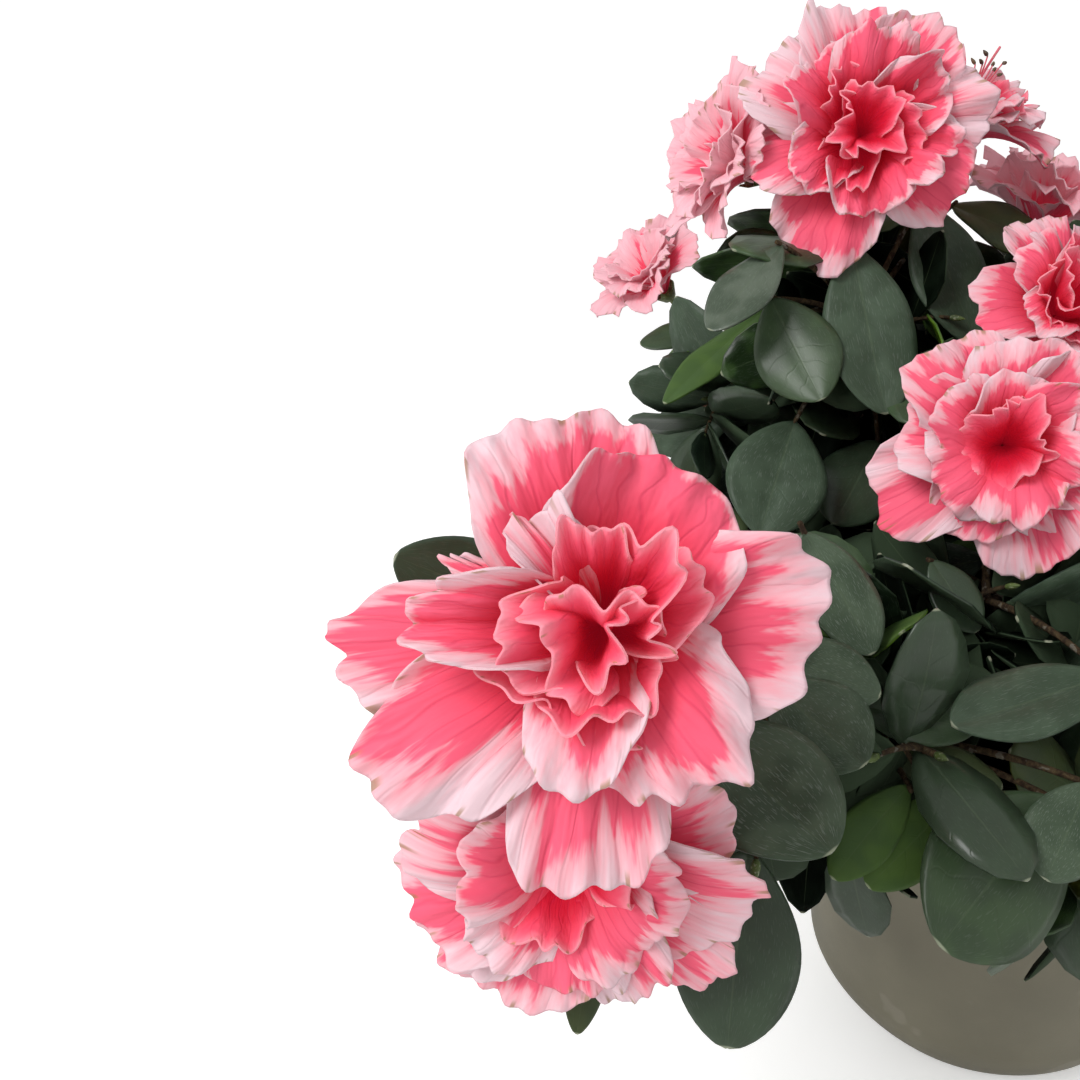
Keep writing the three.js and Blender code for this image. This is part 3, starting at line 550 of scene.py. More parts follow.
def clear_of_pot(places):
    """Above the lowest leaf, and over or outside the pot's rim."""
    outside = np.hypot(places[:, 0], places[:, 1]) > POT_RIM_RADIUS + 1.5
    return (places[:, 2] >= LOWEST_LEAF) & ((places[:, 2] > POT_HEIGHT + 1.5) | outside)


def in_the_clear(places, world, margin):
    """Clear of every flower by a margin, and of the pot."""
    return (clear_of_flowers(places, world.flowers, margin) & clear_of_pot(places)).all()


def leaf_touches(leaf, obstacles):
    """True where a leaf comes close to any of the points with radii."""
    if not len(obstacles):
        return False
    offset = obstacles[:, :3] - leaf.foot
    radius = obstacles[:, 3]
    u = offset @ leaf.tipward / leaf.length
    half = 0.5 * leaf.width * leaf_half_width(np.clip(u, 0.06, 0.94))
    v = np.abs(offset @ leaf.across)
    side = v / (0.5 * leaf.width)
    surface = -leaf.droop * u * u - 0.12 * leaf.width * side * side
    near = (u >= -0.08) & (u <= 1.08) & (v <= half + radius + 0.6)
    return bool(
        np.any(near & (np.abs(offset @ leaf.upper - surface) < radius + 0.5 * LEAF_THICKNESS + 1.1))
    )


def leaf_fits(leaf, mass, world):
    """Inside its mass, clear of flowers and pot, and off every limb."""
    places = leaf_place(leaf, LEAF_SAMPLES[:, 0], LEAF_SAMPLES[:, 1])
    return (
        inside_mass(places, mass, world.masses).all()
        and in_the_clear(places, world, 1.2)
        and not leaf_touches(leaf, world.obstacles)
    )


def make_leaf(line, t, turn, splay, length):
    """A leaf at t along a shoot, turned round it and splayed away from it, face towards the tip."""
    tangent = line.tangent(t)
    tipward = math.cos(splay) * tangent + math.sin(splay) * way_out(tangent, turn)
    upper = unit(tangent - tangent.dot(tipward) * tipward)
    return SimpleNamespace(
        foot=line.point(t) - LEAF_ROOT_DEPTH * tipward,
        tipward=tipward,
        upper=upper,
        across=np.cross(tipward, upper),
        length=length,
        width=LEAF_WIDTH_SHARE * length,
        droop=0.1 * length,
    )


def grow_leaves(shoot, mass, world, random, grown):
    """Leaves round a shoot by the golden angle, wide open low down and closing towards the tip."""
    leaves = []
    for i in range(LEAVES_PER_SHOOT):
        share = i / (LEAVES_PER_SHOOT - 1)
        t = lerp(shoot.first_leaf, 0.97, share)
        length = LEAF_LENGTH * (1 + LEAF_SPREAD * (2 * random() - 1)) * lerp(1, 0.8, share)
        turn = i * GOLDEN_ANGLE + shoot.turn
        splay = lerp(shoot.wide, shoot.close, share) + 0.3 * (random() - 0.5)
        taken = np.concatenate(grown) if grown else ()
        for swing, shorter in LEAF_TRIES:
            leaf = make_leaf(shoot.line, t, turn + swing, splay, length * shorter)
            if leaf_fits(leaf, mass, world) and not leaf_touches(leaf, taken):
                leaves.append(leaf)
                grown.append(leaf_points(leaf))
                break
    return leaves


def lone_leaf(foot, tip, looks, width, tint, masses):
    """A single leaf, sunk in the end of a twig of its own that leaves the stem of its mass."""
    foot = np.array(foot, float)
    mass = nearest_mass(foot, masses)
    twig = shoot_line(stem_line(mass).point(LONE_TWIG_START), foot)
    start = twig.point(LONE_LEAF_START)
    length = np.linalg.norm(np.array(tip, float) - start)
    tipward = (np.array(tip, float) - start) / length
    upper = np.array(looks, float)
    upper = unit(upper - upper.dot(tipward) * tipward)
    leaf = SimpleNamespace(
        foot=start,
        tipward=tipward,
        upper=upper,
        across=np.cross(tipward, upper),
        length=length,
        width=width * length,
        droop=0,
        tint=tint,
    )
    return SimpleNamespace(leaf=leaf, twig=twig)


def shoot_fits(line, mass, world):
    """A shoot that stays inside its mass, clear of flowers, pot and limbs."""
    places = line.point(np.arange(1, 11) / 10)
    if not inside_mass(places, mass, world.masses).all():
        return False
    if not in_the_clear(places, world, 2.5):
        return False
    apart = np.linalg.norm(places[:, None] - world.obstacles[None, :, :3], axis=-1)
    return not np.any(apart < world.obstacles[:, 3] + SHOOT_RADII[0] + 1.4)


def grow_shoots(mass, world, random):
    """Collar shoots run to just behind the flowers of the mass, and the others fan out evenly."""
    stem = stem_line(mass)
    shoots = []
    for flower in world.flowers:
        if flower.owner is not mass:
            continue
        side, _ = cross_directions(flower.facing)
        for offset in (5, -5):
            end = flower.back - 3 * flower.facing + offset * side
            line = shoot_line(stem.point(0.7), end)
            if shoot_fits(line, mass, world):
                collar = dict(line=line, first_leaf=0.6, turn=random() * 6, wide=1.5, close=1.3)
                shoots.append(SimpleNamespace(**collar))
                break
    for i in range(SHOOTS_PER_MASS):
        polar = math.acos(1 - (i + 0.5) / SHOOTS_PER_MASS * 1.5)
        turn = i * GOLDEN_ANGLE + 0.8 * random()
        direction = math.cos(polar) * mass.outward + math.sin(polar) * way_out(mass.outward, turn)
        start = stem.point(lerp(1, 0.35, (i + 0.5) / SHOOTS_PER_MASS))
        lengths = [share * mass.reach * lerp(0.85, 1, random()) for share in (0.62, 0.48, 0.36)]
        for length in lengths:
            line = shoot_line(start, start + length * direction)
            if shoot_fits(line, mass, world):
                fan = dict(line=line, first_leaf=0.3, turn=random() * 6, wide=1.35, close=0.55)
                shoots.append(SimpleNamespace(**fan))
                break
    return stem, shoots


# Finer growth than the source has


def seen_at(places):
    """Where places show in the photograph's view, in pixels from its left and from its top."""
    offset = np.atleast_2d(places) - CAMERA_AT
    forward = np.array([0, math.cos(CAMERA_PITCH), -math.sin(CAMERA_PITCH)])
    upward = np.array([0, math.sin(CAMERA_PITCH), math.cos(CAMERA_PITCH)])
    depth = offset @ forward
    middle = CAMERA_PIXELS / 2
    right = middle + FOCAL_PIXELS * offset[:, 0] / depth
    down = middle - FOCAL_PIXELS * (offset @ upward) / depth
    return right, down


def in_open_air(places):
    """True where a place shows in a part of the picture that the plant leaves open."""
    right, down = seen_at(places)
    hit = np.zeros(len(right), bool)
    for x0, y0, x1, y1 in OPEN_AIR:
        hit |= (right > x0) & (right < x1) & (down > y0) & (down < y1)
    return hit


def hides_from_camera(places, middle, normal, inside):
    """True where a place stands before a flat thing on its line to the camera."""
    ray = places - CAMERA_AT
    stretch = ((middle - CAMERA_AT) @ normal) / (ray @ normal)
    landing = CAMERA_AT + ray * stretch[:, None]
    return (stretch > 1.0) & inside(landing - middle)


def hides_chosen(places, world):
    """True where a place would hide a chosen leaf or a flower that shows from the front."""
    hides = np.zeros(len(places), bool)
    for lone in world.chosen:
        leaf = lone.leaf

        def on_leaf(offset, leaf=leaf):
            """Within the leaf's oval."""
            u = offset @ leaf.tipward / leaf.length
            v = np.abs(offset @ leaf.across) / (0.5 * leaf.width)
            return (u > 0) & (u < 1) & (v < 1.05 * np.sqrt(np.clip(1 - (2 * u - 1) ** 2, 0, 1)))

        hides |= hides_from_camera(places, leaf.foot, leaf.upper, on_leaf)
    for flower in world.flowers:
        if flower.facing @ (CAMERA_AT - flower.centre) > 0:
            reach = 0.5 * flower.width

            def on_flower(offset, reach=reach):
                """Within the flower's disc."""
                return np.linalg.norm(offset, axis=-1) < reach

            hides |= hides_from_camera(places, flower.centre, flower.facing, on_flower)
    return hides


SPRIG_TRIES = [(0.0, 1.0), (0.8, 1.0), (-0.8, 0.85), (1.6, 0.7)]
SPRIG_LEAVES = 6


def grow_sprig(line, world, random, grown, length):
    """A whorl of smaller leaves round the outer half of a fine twig."""
    leaves = []
    first_turn = random() * 6
    for i in range(SPRIG_LEAVES):
        share = i / (SPRIG_LEAVES - 1)
        long = length * (1 + 0.25 * (2 * random() - 1)) * lerp(1, 0.72, share)
        splay = lerp(1.3, 0.45, share) + 0.35 * (random() - 0.5)
        taken = np.concatenate(grown[-90:]) if grown else ()
        for swing, shorter in SPRIG_TRIES:
            turn = first_turn + i * GOLDEN_ANGLE + swing
            leaf = make_leaf(line, lerp(0.45, 0.98, share), turn, splay, long * shorter)
            leaf.width *= 1.06
            places = leaf_place(leaf, LEAF_SAMPLES[:, 0], LEAF_SAMPLES[:, 1])
            if (
                world.inside_crown(places).all()
                and in_the_clear(places, world, 0.5)
                and not in_open_air(places).any()
                and not hides_chosen(places, world).any()
                and not leaf_touches(leaf, taken)
            ):
                leaves.append(leaf)
                grown.append(leaf_points(leaf))
                break
    return leaves


def grow_fine_twigs(parent, shares, world, random, grown, length, leaf_length):
    """Fine twigs leave a limb at shares of its length, each one turned on by the golden angle."""
    twigs, leaves = [], []
    first_turn = random() * 6
    for i, share in enumerate(shares):
        tangent = parent.tangent(share)
        lean = 0.75 + 0.4 * random()
        around = way_out(tangent, first_turn + i * GOLDEN_ANGLE)
        direction = math.cos(lean) * tangent + math.sin(lean) * around
        start = parent.point(share)
        for shorter in (1.0, 0.7, 0.45):
            line = shoot_line(start, start + length * shorter * lerp(0.8, 1.1, random()) * direction)
            places = line.point(np.arange(1, 6) / 5)
            if world.inside_crown(places).all() and in_the_clear(places, world, 1.0):
                sprig = grow_sprig(line, world, random, grown, leaf_length)
                if sprig:
                    twigs.append(line)
                    leaves += sprig
                break
    return twigs, leaves


@functools.lru_cache(maxsize=1)
def whole_plant():
    """The whole growth: masses, trusses, twigs and leaves, in millimetres."""
    masses = [mass_frame(i, *mass) for i, mass in enumerate(MASSES)]
    trusses = [truss_frame(name, flowers, masses) for name, flowers in TRUSSES.items()]
    flowers = [flower for truss in trusses for flower in truss.flowers]
    lone = [lone_leaf(*row, masses) for row in LONE_LEAVES]
    fine_lone = [lone_leaf(*row, masses) for row in FINE_LONE_LEAVES]
    rim = around_axis(2 * np.arange(180), POT_RIM_RADIUS - LIP_WIDTH, POT_HEIGHT)
    obstacles = [limb_points(mass.line, BOUGH_RADII) for mass in masses]
    obstacles += [limb_points(truss.line, FLOWER_BOUGH_RADII) for truss in trusses]
    obstacles += [limb_points(flower.stalk, (STALK_RADIUS, STALK_RADIUS)) for flower in flowers]
    for single in lone:
        obstacles.append(leaf_points(single.leaf))
        obstacles.append(limb_points(single.twig, SHOOT_RADII)[LONE_TWIG_FREE:])
    obstacles.append(limb_points(TRUNK_LINE, (TRUNK_FOOT_RADIUS + 3, TRUNK_TIP_RADIUS)))
    obstacles.append(spheres(rim, POT_WALL + 0.6))

    def inside_crown(places):
        """Within the reach of any mass."""
        apart = [np.linalg.norm(places - other.centre, axis=-1) / other.reach for other in masses]
        return np.min(apart, axis=0) <= 1.0

    world = SimpleNamespace(
        masses=masses,
        trusses=trusses,
        flowers=flowers,
        obstacles=np.concatenate(obstacles),
        chosen=lone + fine_lone,
        inside_crown=inside_crown,
    )
    for mass in masses:
        random = seeded(FOLIAGE_SEED + mass.order)
        mass.stem, mass.shoots = grow_shoots(mass, world, random)
        mass.leaves, mass.fine_twigs = [], []
        grown = []
        for shoot in mass.shoots:
            mass.leaves += grow_leaves(shoot, mass, world, random, grown)
        mass.grown = grown
    for mass in masses:
        random = seeded(FOLIAGE_SEED + 100 + mass.order)
        grown = mass.grown + [leaf_points(single.leaf) for single in world.chosen]
        limbs = [(shoot.line, (0.35, 0.6, 0.85), 0.3, 36) for shoot in mass.shoots]
        limbs.append((mass.stem, (0.2, 0.45, 0.7, 0.95), 0.42, 38))
        limbs.append((mass.line, (0.45, 0.58, 0.7, 0.8, 0.9), 0.4, 38))
        limbs += [
            (truss.line, (0.35, 0.5, 0.65, 0.8), 0.34, 34)
            for truss in trusses
            if truss.flowers[0].owner is mass
        ]
        for line, shares, reach, leaf_length in limbs:
            length = reach * mass.reach
            twigs, leaves = grow_fine_twigs(line, shares, world, random, grown, length, leaf_length)
            mass.fine_twigs += twigs
            mass.leaves += leaves
    return world


# Meshes


class MeshParts:
    """Corners, faces and values for one mesh, gathered part by part."""

    def __init__(self):
        self.corners, self.quads, self.triangles, self.places = [], [], [], []
        self.quad_tints, self.triangle_tints, self.quad_smooth = [], [], []
        self.count = 0

    def add(self, corners, quads, triangles=None, place=None, tint=0, smooth=True):
        """Adds corners, the faces between them, and the values of both."""
        corners = np.asarray(corners, float).reshape(-1, 3)
        quads = np.asarray(quads, int).reshape(-1, 4)
        triangles = np.zeros((0, 3), int) if triangles is None else np.asarray(triangles, int)
        self.corners.append(corners)
        self.places.append(np.zeros((len(corners), 3)) if place is None else place.reshape(-1, 3))
        self.quads.append(quads + self.count)
        self.triangles.append(triangles.reshape(-1, 3) + self.count)
        self.quad_tints.append(np.broadcast_to(tint, len(quads)))
        self.triangle_tints.append(np.full(len(triangles), 0 if np.ndim(tint) else tint))
        self.quad_smooth.append(np.broadcast_to(smooth, len(quads)))
        self.count += len(corners)


def put_mesh(name, parts, materials, place_name=None):
    """Makes an object in metres from gathered parts, all of its faces from whole arrays."""
    corners = np.concatenate(parts.corners) * MM
    quads, triangles = np.concatenate(parts.quads), np.concatenate(parts.triangles)
    mesh = bpy.data.meshes.new(name)
    mesh.vertices.add(len(corners))
    mesh.vertices.foreach_set("co", corners.astype(np.float32).ravel())
    loops = np.concatenate([quads.ravel(), triangles.ravel()])
    starts = np.concatenate([4 * np.arange(len(quads)), 4 * len(quads) + 3 * np.arange(len(triangles))])
    mesh.loops.add(len(loops))
    mesh.loops.foreach_set("vertex_index", loops.astype(np.int32))
    mesh.polygons.add(len(starts))
    mesh.polygons.foreach_set("loop_start", starts.astype(np.int32))
    tints = np.concatenate([*parts.quad_tints, *parts.triangle_tints])
    mesh.polygons.foreach_set("material_index", tints.astype(np.int32))
    smooth = np.concatenate([*parts.quad_smooth, np.ones(len(triangles), bool)])
    mesh.polygons.foreach_set("use_smooth", smooth)
    if place_name:
        values = np.concatenate(parts.places).astype(np.float32).ravel()
        mesh.attributes.new(place_name, "FLOAT_VECTOR", "POINT").data.foreach_set("vector", values)
    mesh.update(calc_edges=True)
    mesh.validate()
    for material in materials:
        mesh.materials.append(material)
    piece = bpy.data.objects.new(name, mesh)
    bpy.context.scene.collection.objects.link(piece)
    return piece


def grid_quads(rows, columns, wrap=False):
    """Faces of a grid of rows and columns, closed round the columns where it wraps."""
    across = columns if wrap else columns - 1
    i, j = np.meshgrid(np.arange(rows - 1), np.arange(across), indexing="ij")
    k = (j + 1) % columns
    return np.stack(
        [i * columns + j, i * columns + k, (i + 1) * columns + k, (i + 1) * columns + j], axis=-1
    ).reshape(-1, 4)


def sheet_normals(grid):
    """Normals of a grid of points: the change along its rows crossed with that along its columns."""
    down = np.gradient(grid, axis=-3)
    across = np.gradient(grid, axis=-2)
    normals = np.cross(down, across)
    return normals / np.maximum(np.linalg.norm(normals, axis=-1, keepdims=True), 1e-9)


def shell_faces(rows, columns):
    """Faces of a closed thin shell: a front sheet, a back sheet and a strip round their edges."""
    size = rows * columns
    front = grid_quads(rows, columns)
    back = front[:, ::-1] + size
    index = np.arange(size).reshape(rows, columns)
    edge = np.concatenate([index[0, :-1], index[:-1, -1], index[-1, :0:-1], index[:0:-1, 0]])
    after = np.roll(edge, -1)
    strip = np.stack([after, edge, edge + size, after + size], axis=-1)
    return np.concatenate([front[:, ::-1], back[:, ::-1], strip[:, ::-1]]), len(front) + len(back)


def add_shells(parts, grids, thickness, place, tints):
    """Adds thin closed shells, one for each grid of points, half a thickness either side of it."""
    count, rows, columns = grids.shape[:3]
    offset = 0.5 * thickness * sheet_normals(grids)
    corners = np.stack([grids + offset, grids - offset], axis=1).reshape(count, -1, 3)
    under = place * (1, 1, -1)
    place = np.stack([place, under], axis=1).reshape(count, -1, 3)
    faces, broad = shell_faces(rows, columns)
    size = 2 * rows * columns
    quads = (faces[None] + size * np.arange(count)[:, None, None]).reshape(-1, 4)
    smooth = np.tile(np.arange(len(faces)) < broad, count)
    parts.add(corners, quads, place=place, tint=np.repeat(tints, len(faces)), smooth=smooth)


def add_rings(parts, rings, ends, tint=0):
    """Adds a skin over rings of points, closed at both of its ends by a fan to a point."""
    count, sides = rings.shape[:2]
    near = np.arange(sides)
    after = (near + 1) % sides
    far = (count - 1) * sides
    middle = np.full(sides, count * sides)
    first = np.column_stack([middle, near, after])
    last = np.column_stack([middle + 1, after + far, near + far])
    quads = grid_quads(count, sides, wrap=True)[:, ::-1]
    corners = np.concatenate([rings.reshape(-1, 3), ends])
    parts.add(corners, quads, np.concatenate([first, last]), tint=tint)


def add_tube(parts, line, radii, count, sides, tint=0, rough=0.0, seed=0):
    """Adds a tube: a round section carried along a line, its radius running from one to the other.

    rough makes the radius swell and shrink in rings and lobes, as bark does.
    """
    t = np.linspace(0, 1, count)
    centre = line.point(t)
    tangent = line.tangent(t)
    side = np.cross(tangent, UP)
    side = unit(np.where(np.linalg.norm(side, axis=1, keepdims=True) < 0.05, (1.0, 0, 0), side))
    lift = np.cross(side, tangent)
    angle = 2 * np.pi * np.arange(sides) / sides
    radius = np.broadcast_to(lerp(radii[0], radii[1], t)[:, None], (count, sides))
    if rough:
        along = line.length() * t[:, None]
        wave = np.sin(1.7 * along + 2 * angle + seed) * np.sin(0.9 * along - 3 * angle + 2 * seed)
        knots = np.maximum(0, np.sin(0.55 * along + seed)) ** 6
        radius = radius * (1 + rough * (0.6 * wave + 0.8 * knots))
    ring = np.cos(angle)[:, None] * side[:, None] + np.sin(angle)[:, None] * lift[:, None]
    add_rings(parts, centre[:, None] + radius[..., None] * ring, centre[[0, -1]], tint)


# Materials


def new_material(name, roughness, gloss=0.5):
    """A material with a Principled shader, its plain values set on its own sockets."""
    material = bpy.data.materials.new(name)
    material.use_nodes = True
    shader = material.node_tree.nodes["Principled BSDF"]
    shader.inputs["Roughness"].default_value = roughness
    shader.inputs["Specular IOR Level"].default_value = gloss
    return material, material.node_tree, shader


def feed(tree, socket, value):
    """Links a socket to another one, or sets its own value. A colour is made opaque."""
    if isinstance(value, bpy.types.NodeSocket):
        tree.links.new(value, socket)
    elif isinstance(value, (int, float)):
        socket.default_value = value
    else:
        socket.default_value = (*value, 1)


def node(tree, kind, *values):
    """A node whose first inputs are plain values or other sockets."""
    made = tree.nodes.new(kind)
    for socket, value in zip(made.inputs, values):
        feed(tree, socket, value)
    return made


def maths(tree, operation, *values):
    """A maths node's result."""
    made = node(tree, "ShaderNodeMath", *values)
    made.operation = operation
    return made.outputs[0]


def times(tree, first, second):
    """Two numbers multiplied."""
    return maths(tree, "MULTIPLY", first, second)


def plus(tree, first, second):
    """Two numbers added."""
    return maths(tree, "ADD", first, second)


def minus(tree, first, second):
    """The second number taken from the first."""
    return maths(tree, "SUBTRACT", first, second)


def ramp(tree, value, low, high):
    """A smooth mask: 0 where the value is below low, 1 where it is above high."""
    made = node(tree, "ShaderNodeMapRange", value, low, high)
    made.interpolation_type = "SMOOTHSTEP"
    return made.outputs["Result"]


def mix(tree, factor, first, second):
    """A mix of two colours."""
    made = tree.nodes.new("ShaderNodeMix")
    made.data_type = "RGBA"
    for index, value in ((0, factor), (6, first), (7, second)):
        feed(tree, made.inputs[index], value)
    return made.outputs[2]


def place_of(tree, attribute):
    """The three numbers of a point attribute, apart."""
    made = tree.nodes.new("ShaderNodeAttribute")
    made.attribute_name = attribute
    return list(node(tree, "ShaderNodeSeparateXYZ", made.outputs["Vector"]).outputs)


def together(tree, x, y, z):
    """Three numbers as one vector."""
    return node(tree, "ShaderNodeCombineXYZ", x, y, z).outputs[0]


def noise(tree, vector, scale, detail=3.0, roughness=0.5):
    """A soft random pattern from 0 to 1."""
    made = tree.nodes.new("ShaderNodeTexNoise")
    given = {"Vector": vector, "Scale": scale, "Detail": detail, "Roughness": roughness}
    for name, value in given.items():
        feed(tree, made.inputs[name], value)
    return made.outputs[0]


def object_places(tree):
    """Places on the object itself, in metres."""
    return tree.nodes.new("ShaderNodeTexCoord").outputs["Object"]


def surface(tree, shader, colour, height, strength, distance):
    """Gives the shader its colour, and raises the surface by a height pattern."""
    tree.links.new(colour, shader.inputs["Base Color"])
    made = tree.nodes.new("ShaderNodeBump")
    for name, value in (("Strength", strength), ("Distance", distance), ("Height", height)):
        feed(tree, made.inputs[name], value)
    tree.links.new(made.outputs[0], shader.inputs["Normal"])


def new_group(name, inputs, outputs):
    """An empty node group, with what it is given and what it results in."""
    group = bpy.data.node_groups.new(name, "ShaderNodeTree")
    for label in inputs:
        kind = "NodeSocketVector" if label == "Vector" else "NodeSocketFloat"
        group.interface.new_socket(label, in_out="INPUT", socket_type=kind)
    for label in outputs:
        group.interface.new_socket(label, in_out="OUTPUT", socket_type="NodeSocketFloat")
    given = group.nodes.new("NodeGroupInput").outputs
    result = group.nodes.new("NodeGroupOutput").inputs
    return group, given, result


def use_group(tree, group, values):
    """The results of a group that is given its values by name."""
    made = tree.nodes.new("ShaderNodeGroup")
    made.node_tree = group
    for name, value in values.items():
        feed(tree, made.inputs[name], value)
    return made.outputs


def speckle_group():
    """A group used by soil, bark, pot and green skin: a mask of fine specks, and a grain."""
    known = bpy.data.node_groups.get("fine_specks")
    if known:
        return known
    inputs = ("Vector", "Scale", "Share", "Grain scale")
    group, given, result = new_group("fine_specks", inputs, ("Specks", "Grain"))
    spots = noise(group, given["Vector"], given["Scale"], 2.0)
    edge = minus(group, 0.75, times(group, given["Share"], 0.3))
    group.links.new(ramp(group, spots, edge, plus(group, edge, 0.04)), result["Specks"])
    group.links.new(noise(group, given["Vector"], given["Grain scale"], 4.0, 0.6), result["Grain"])
    return group


def specks(tree, vector, scale, share, grain_scale):
    """The specks and the grain of the shared group, with this material's own values."""
    values = {"Vector": vector, "Scale": scale, "Share": share, "Grain scale": grain_scale}
    results = use_group(tree, speckle_group(), values)
    return results["Specks"], results["Grain"]


def line_group():
    """A group used by leaves and petals: thin lines that repeat along a value."""
    known = bpy.data.node_groups.get("thin_lines")
    if known:
        return known
    group, given, result = new_group("thin_lines", ("Value", "Count", "Width"), ("Lines",))
    wave = maths(group, "PINGPONG", times(group, given["Value"], given["Count"]), 0.5)
    group.links.new(ramp(group, wave, given["Width"], 0.0), result["Lines"])
    return group


def thin_lines(tree, value, count, width):
    """The lines of the shared group."""
    return use_group(tree, line_group(), {"Value": value, "Count": count, "Width": width})["Lines"]


def petal_material(name, props, reach, ragged, uneven, side, margin, blush, throat_reach, painted_glow):
    """Pink that runs out to a pale margin in jagged flames, crimson in the throat, finely veined.

    reach is how far out the pink runs, ragged and uneven how far its short and long waves go, side how
    much sooner it ends at the sides of the petal, throat_reach how far out the crimson runs, and glow how
    strongly the petal gives off its own colours as light: painted light, in place of the light that would
    come through the thin petal from behind.
    """
    material, tree, shader = new_material(name, 0.55, 0.18)
    across, along, seed = place_of(tree, "petal_place")
    own = maths(tree, "ABSOLUTE", seed)

    flames = together(tree, times(tree, across, 6.0), times(tree, along, 1.6), own)
    drift = together(tree, across, times(tree, own, 3.7), own)
    short_waves = times(tree, noise(tree, flames, 1.6, 3.0, 0.6), ragged)
    long_waves = times(tree, noise(tree, drift, 1.5, 1.0), uneven)
    end = plus(tree, reach - 0.5 * (ragged + uneven), plus(tree, short_waves, long_waves))
    end = minus(tree, end, times(tree, times(tree, across, across), side))
    within = minus(tree, end, along)
    flesh = ramp(tree, within, -0.06, 0.05)
    edging = mix(tree, ramp(tree, within, -0.34, 0.03), margin, blush)
    pink = mix(tree, ramp(tree, along, 0.80, 0.25), props.petal_pink, props.petal_rose)
    colour = mix(tree, flesh, edging, pink)
    throat = ramp(tree, along, throat_reach, 0.2 * throat_reach)
    colour = mix(tree, throat, colour, props.petal_throat)

    wander = times(tree, noise(tree, together(tree, across, along, own), 4.0, 0.0), 0.18)
    veins = thin_lines(tree, plus(tree, across, wander), 6.0, 0.12)
    shows = plus(tree, 0.03, times(tree, flesh, 0.22))
    colour = mix(tree, times(tree, veins, shows), colour, props.petal_vein)

    blotch = noise(tree, together(tree, times(tree, across, 9.0), own, along), 1.6, 1.0)
    spots = times(tree, ramp(tree, blotch, 0.6, 0.68), ramp(tree, along, 0.93, 0.985))
    colour = mix(tree, times(tree, spots, 0.7), colour, props.petal_spot)
    # The petal gives off its own colours as light, weakly: painted light that stands in for light coming
    # through it from behind.
    tree.links.new(colour, shader.inputs["Emission Color"])
    shader.inputs["Emission Strength"].default_value = painted_glow
    material.cycles.emission_sampling = "NONE"

    tissue = together(tree, times(tree, across, 26.0), times(tree, along, 9.0), own)
    height = minus(tree, noise(tree, tissue, 1.0, 0.0), times(tree, veins, 0.5))
    surface(tree, shader, colour, height, 0.35, 0.0006)
    return material


def leaf_material(name, colour, shade, hair, roughness, gloss, props):
    """A leathery leaf: mottled green, a pale midrib, sunk side veins, and fine pale hairs."""
    material, tree, shader = new_material(name, roughness, gloss)
    across, along, seed = place_of(tree, "leaf_place")
    own = maths(tree, "ABSOLUTE", seed)
    side = maths(tree, "ABSOLUTE", across)

    patch = noise(tree, object_places(tree), 130.0, 1.0, 0.6)
    green = mix(tree, ramp(tree, patch, 0.38, 0.62), shade, colour)
    tone = noise(tree, together(tree, own, 0.5, 0.5), 1.7, 0.0)
    green = mix(tree, times(tree, ramp(tree, tone, 0.35, 0.7), 0.5), green, shade)

    wander = times(tree, noise(tree, together(tree, across, along, own), 3.0, 0.0), 0.12)
    rising = minus(tree, plus(tree, along, wander), times(tree, side, 0.22))
    ribs = thin_lines(tree, rising, 6.0, 0.08)
    green = mix(tree, times(tree, ribs, 0.15), green, shade)
    width = minus(tree, 0.06, times(tree, along, 0.045))
    midrib = ramp(tree, side, width, times(tree, width, 0.35))
    green = mix(tree, times(tree, midrib, 0.16), green, props.leaf_midrib)

    strokes = together(tree, times(tree, across, 34.0), times(tree, along, 12.0), own)
    hairs = ramp(tree, noise(tree, strokes, 1.6, 1.0), 0.6, 0.68)
    green = mix(tree, times(tree, hairs, hair), green, props.leaf_hair)
    under = times(tree, ramp(tree, seed, 0.0, -0.01), 0.45)
    green = mix(tree, under, green, props.leaf_underside)
    tip = times(tree, ramp(tree, along, 0.985, 0.995), 0.4)
    green = mix(tree, tip, green, props.leaf_tip)

    height = times(tree, plus(tree, ribs, times(tree, midrib, 1.5)), -0.6)
    surface(tree, shader, green, height, 0.15, 0.0003)
    return material


def bark_material(name, light, dark, scale):
    """Brown bark in thin lengthwise plates, with dark cracks between them."""
    material, tree, shader = new_material(name, 0.85, 0.2)
    places = object_places(tree)
    stretched = node(tree, "ShaderNodeMapping", places)
    stretched.inputs["Scale"].default_value = (1.0, 1.0, 0.3)
    plates = noise(tree, stretched.outputs[0], scale, 5.0, 0.65)
    patches, grain = specks(tree, places, 0.35 * scale, 0.5, 4.0 * scale)
    colour = mix(tree, ramp(tree, plates, 0.35, 0.65), dark, light)
    colour = mix(tree, times(tree, patches, 0.35), colour, (0.30, 0.29, 0.24))
    height = plus(tree, plates, times(tree, grain, 0.3))
    surface(tree, shader, colour, height, 0.8, 0.0012)
    return material


def plain_green_material(name, colour, dark):
    """Soft green skin with a fine down, for stalks, calyces and bud scales."""
    material, tree, shader = new_material(name, 0.6)
    places = object_places(tree)
    patch = noise(tree, places, 220.0, 3.0)
    down, grain = specks(tree, places, 1600.0, 0.5, 900.0)
    shade = mix(tree, ramp(tree, patch, 0.3, 0.7), dark, colour)
    shade = mix(tree, times(tree, down, 0.3), shade, (0.55, 0.56, 0.42))
    surface(tree, shader, shade, grain, 0.4, 0.0003)
    return material


def soil_material(props):
    """Dark peat with brown fibres and a few pale grains."""
    material, tree, shader = new_material("potting_mix", 0.95)
    places = object_places(tree)
    pale, grain = specks(tree, places, 420.0, 0.25, 700.0)
    lumps = noise(tree, places, 160.0, 5.0, 0.65)
    colour = mix(tree, ramp(tree, lumps, 0.35, 0.65), props.soil_dark, props.soil_brown)
    colour = mix(tree, times(tree, pale, 0.5), colour, (0.35, 0.30, 0.22))
    height = plus(tree, lumps, times(tree, grain, 0.5))
    surface(tree, shader, colour, height, 0.9, 0.002)
    return material


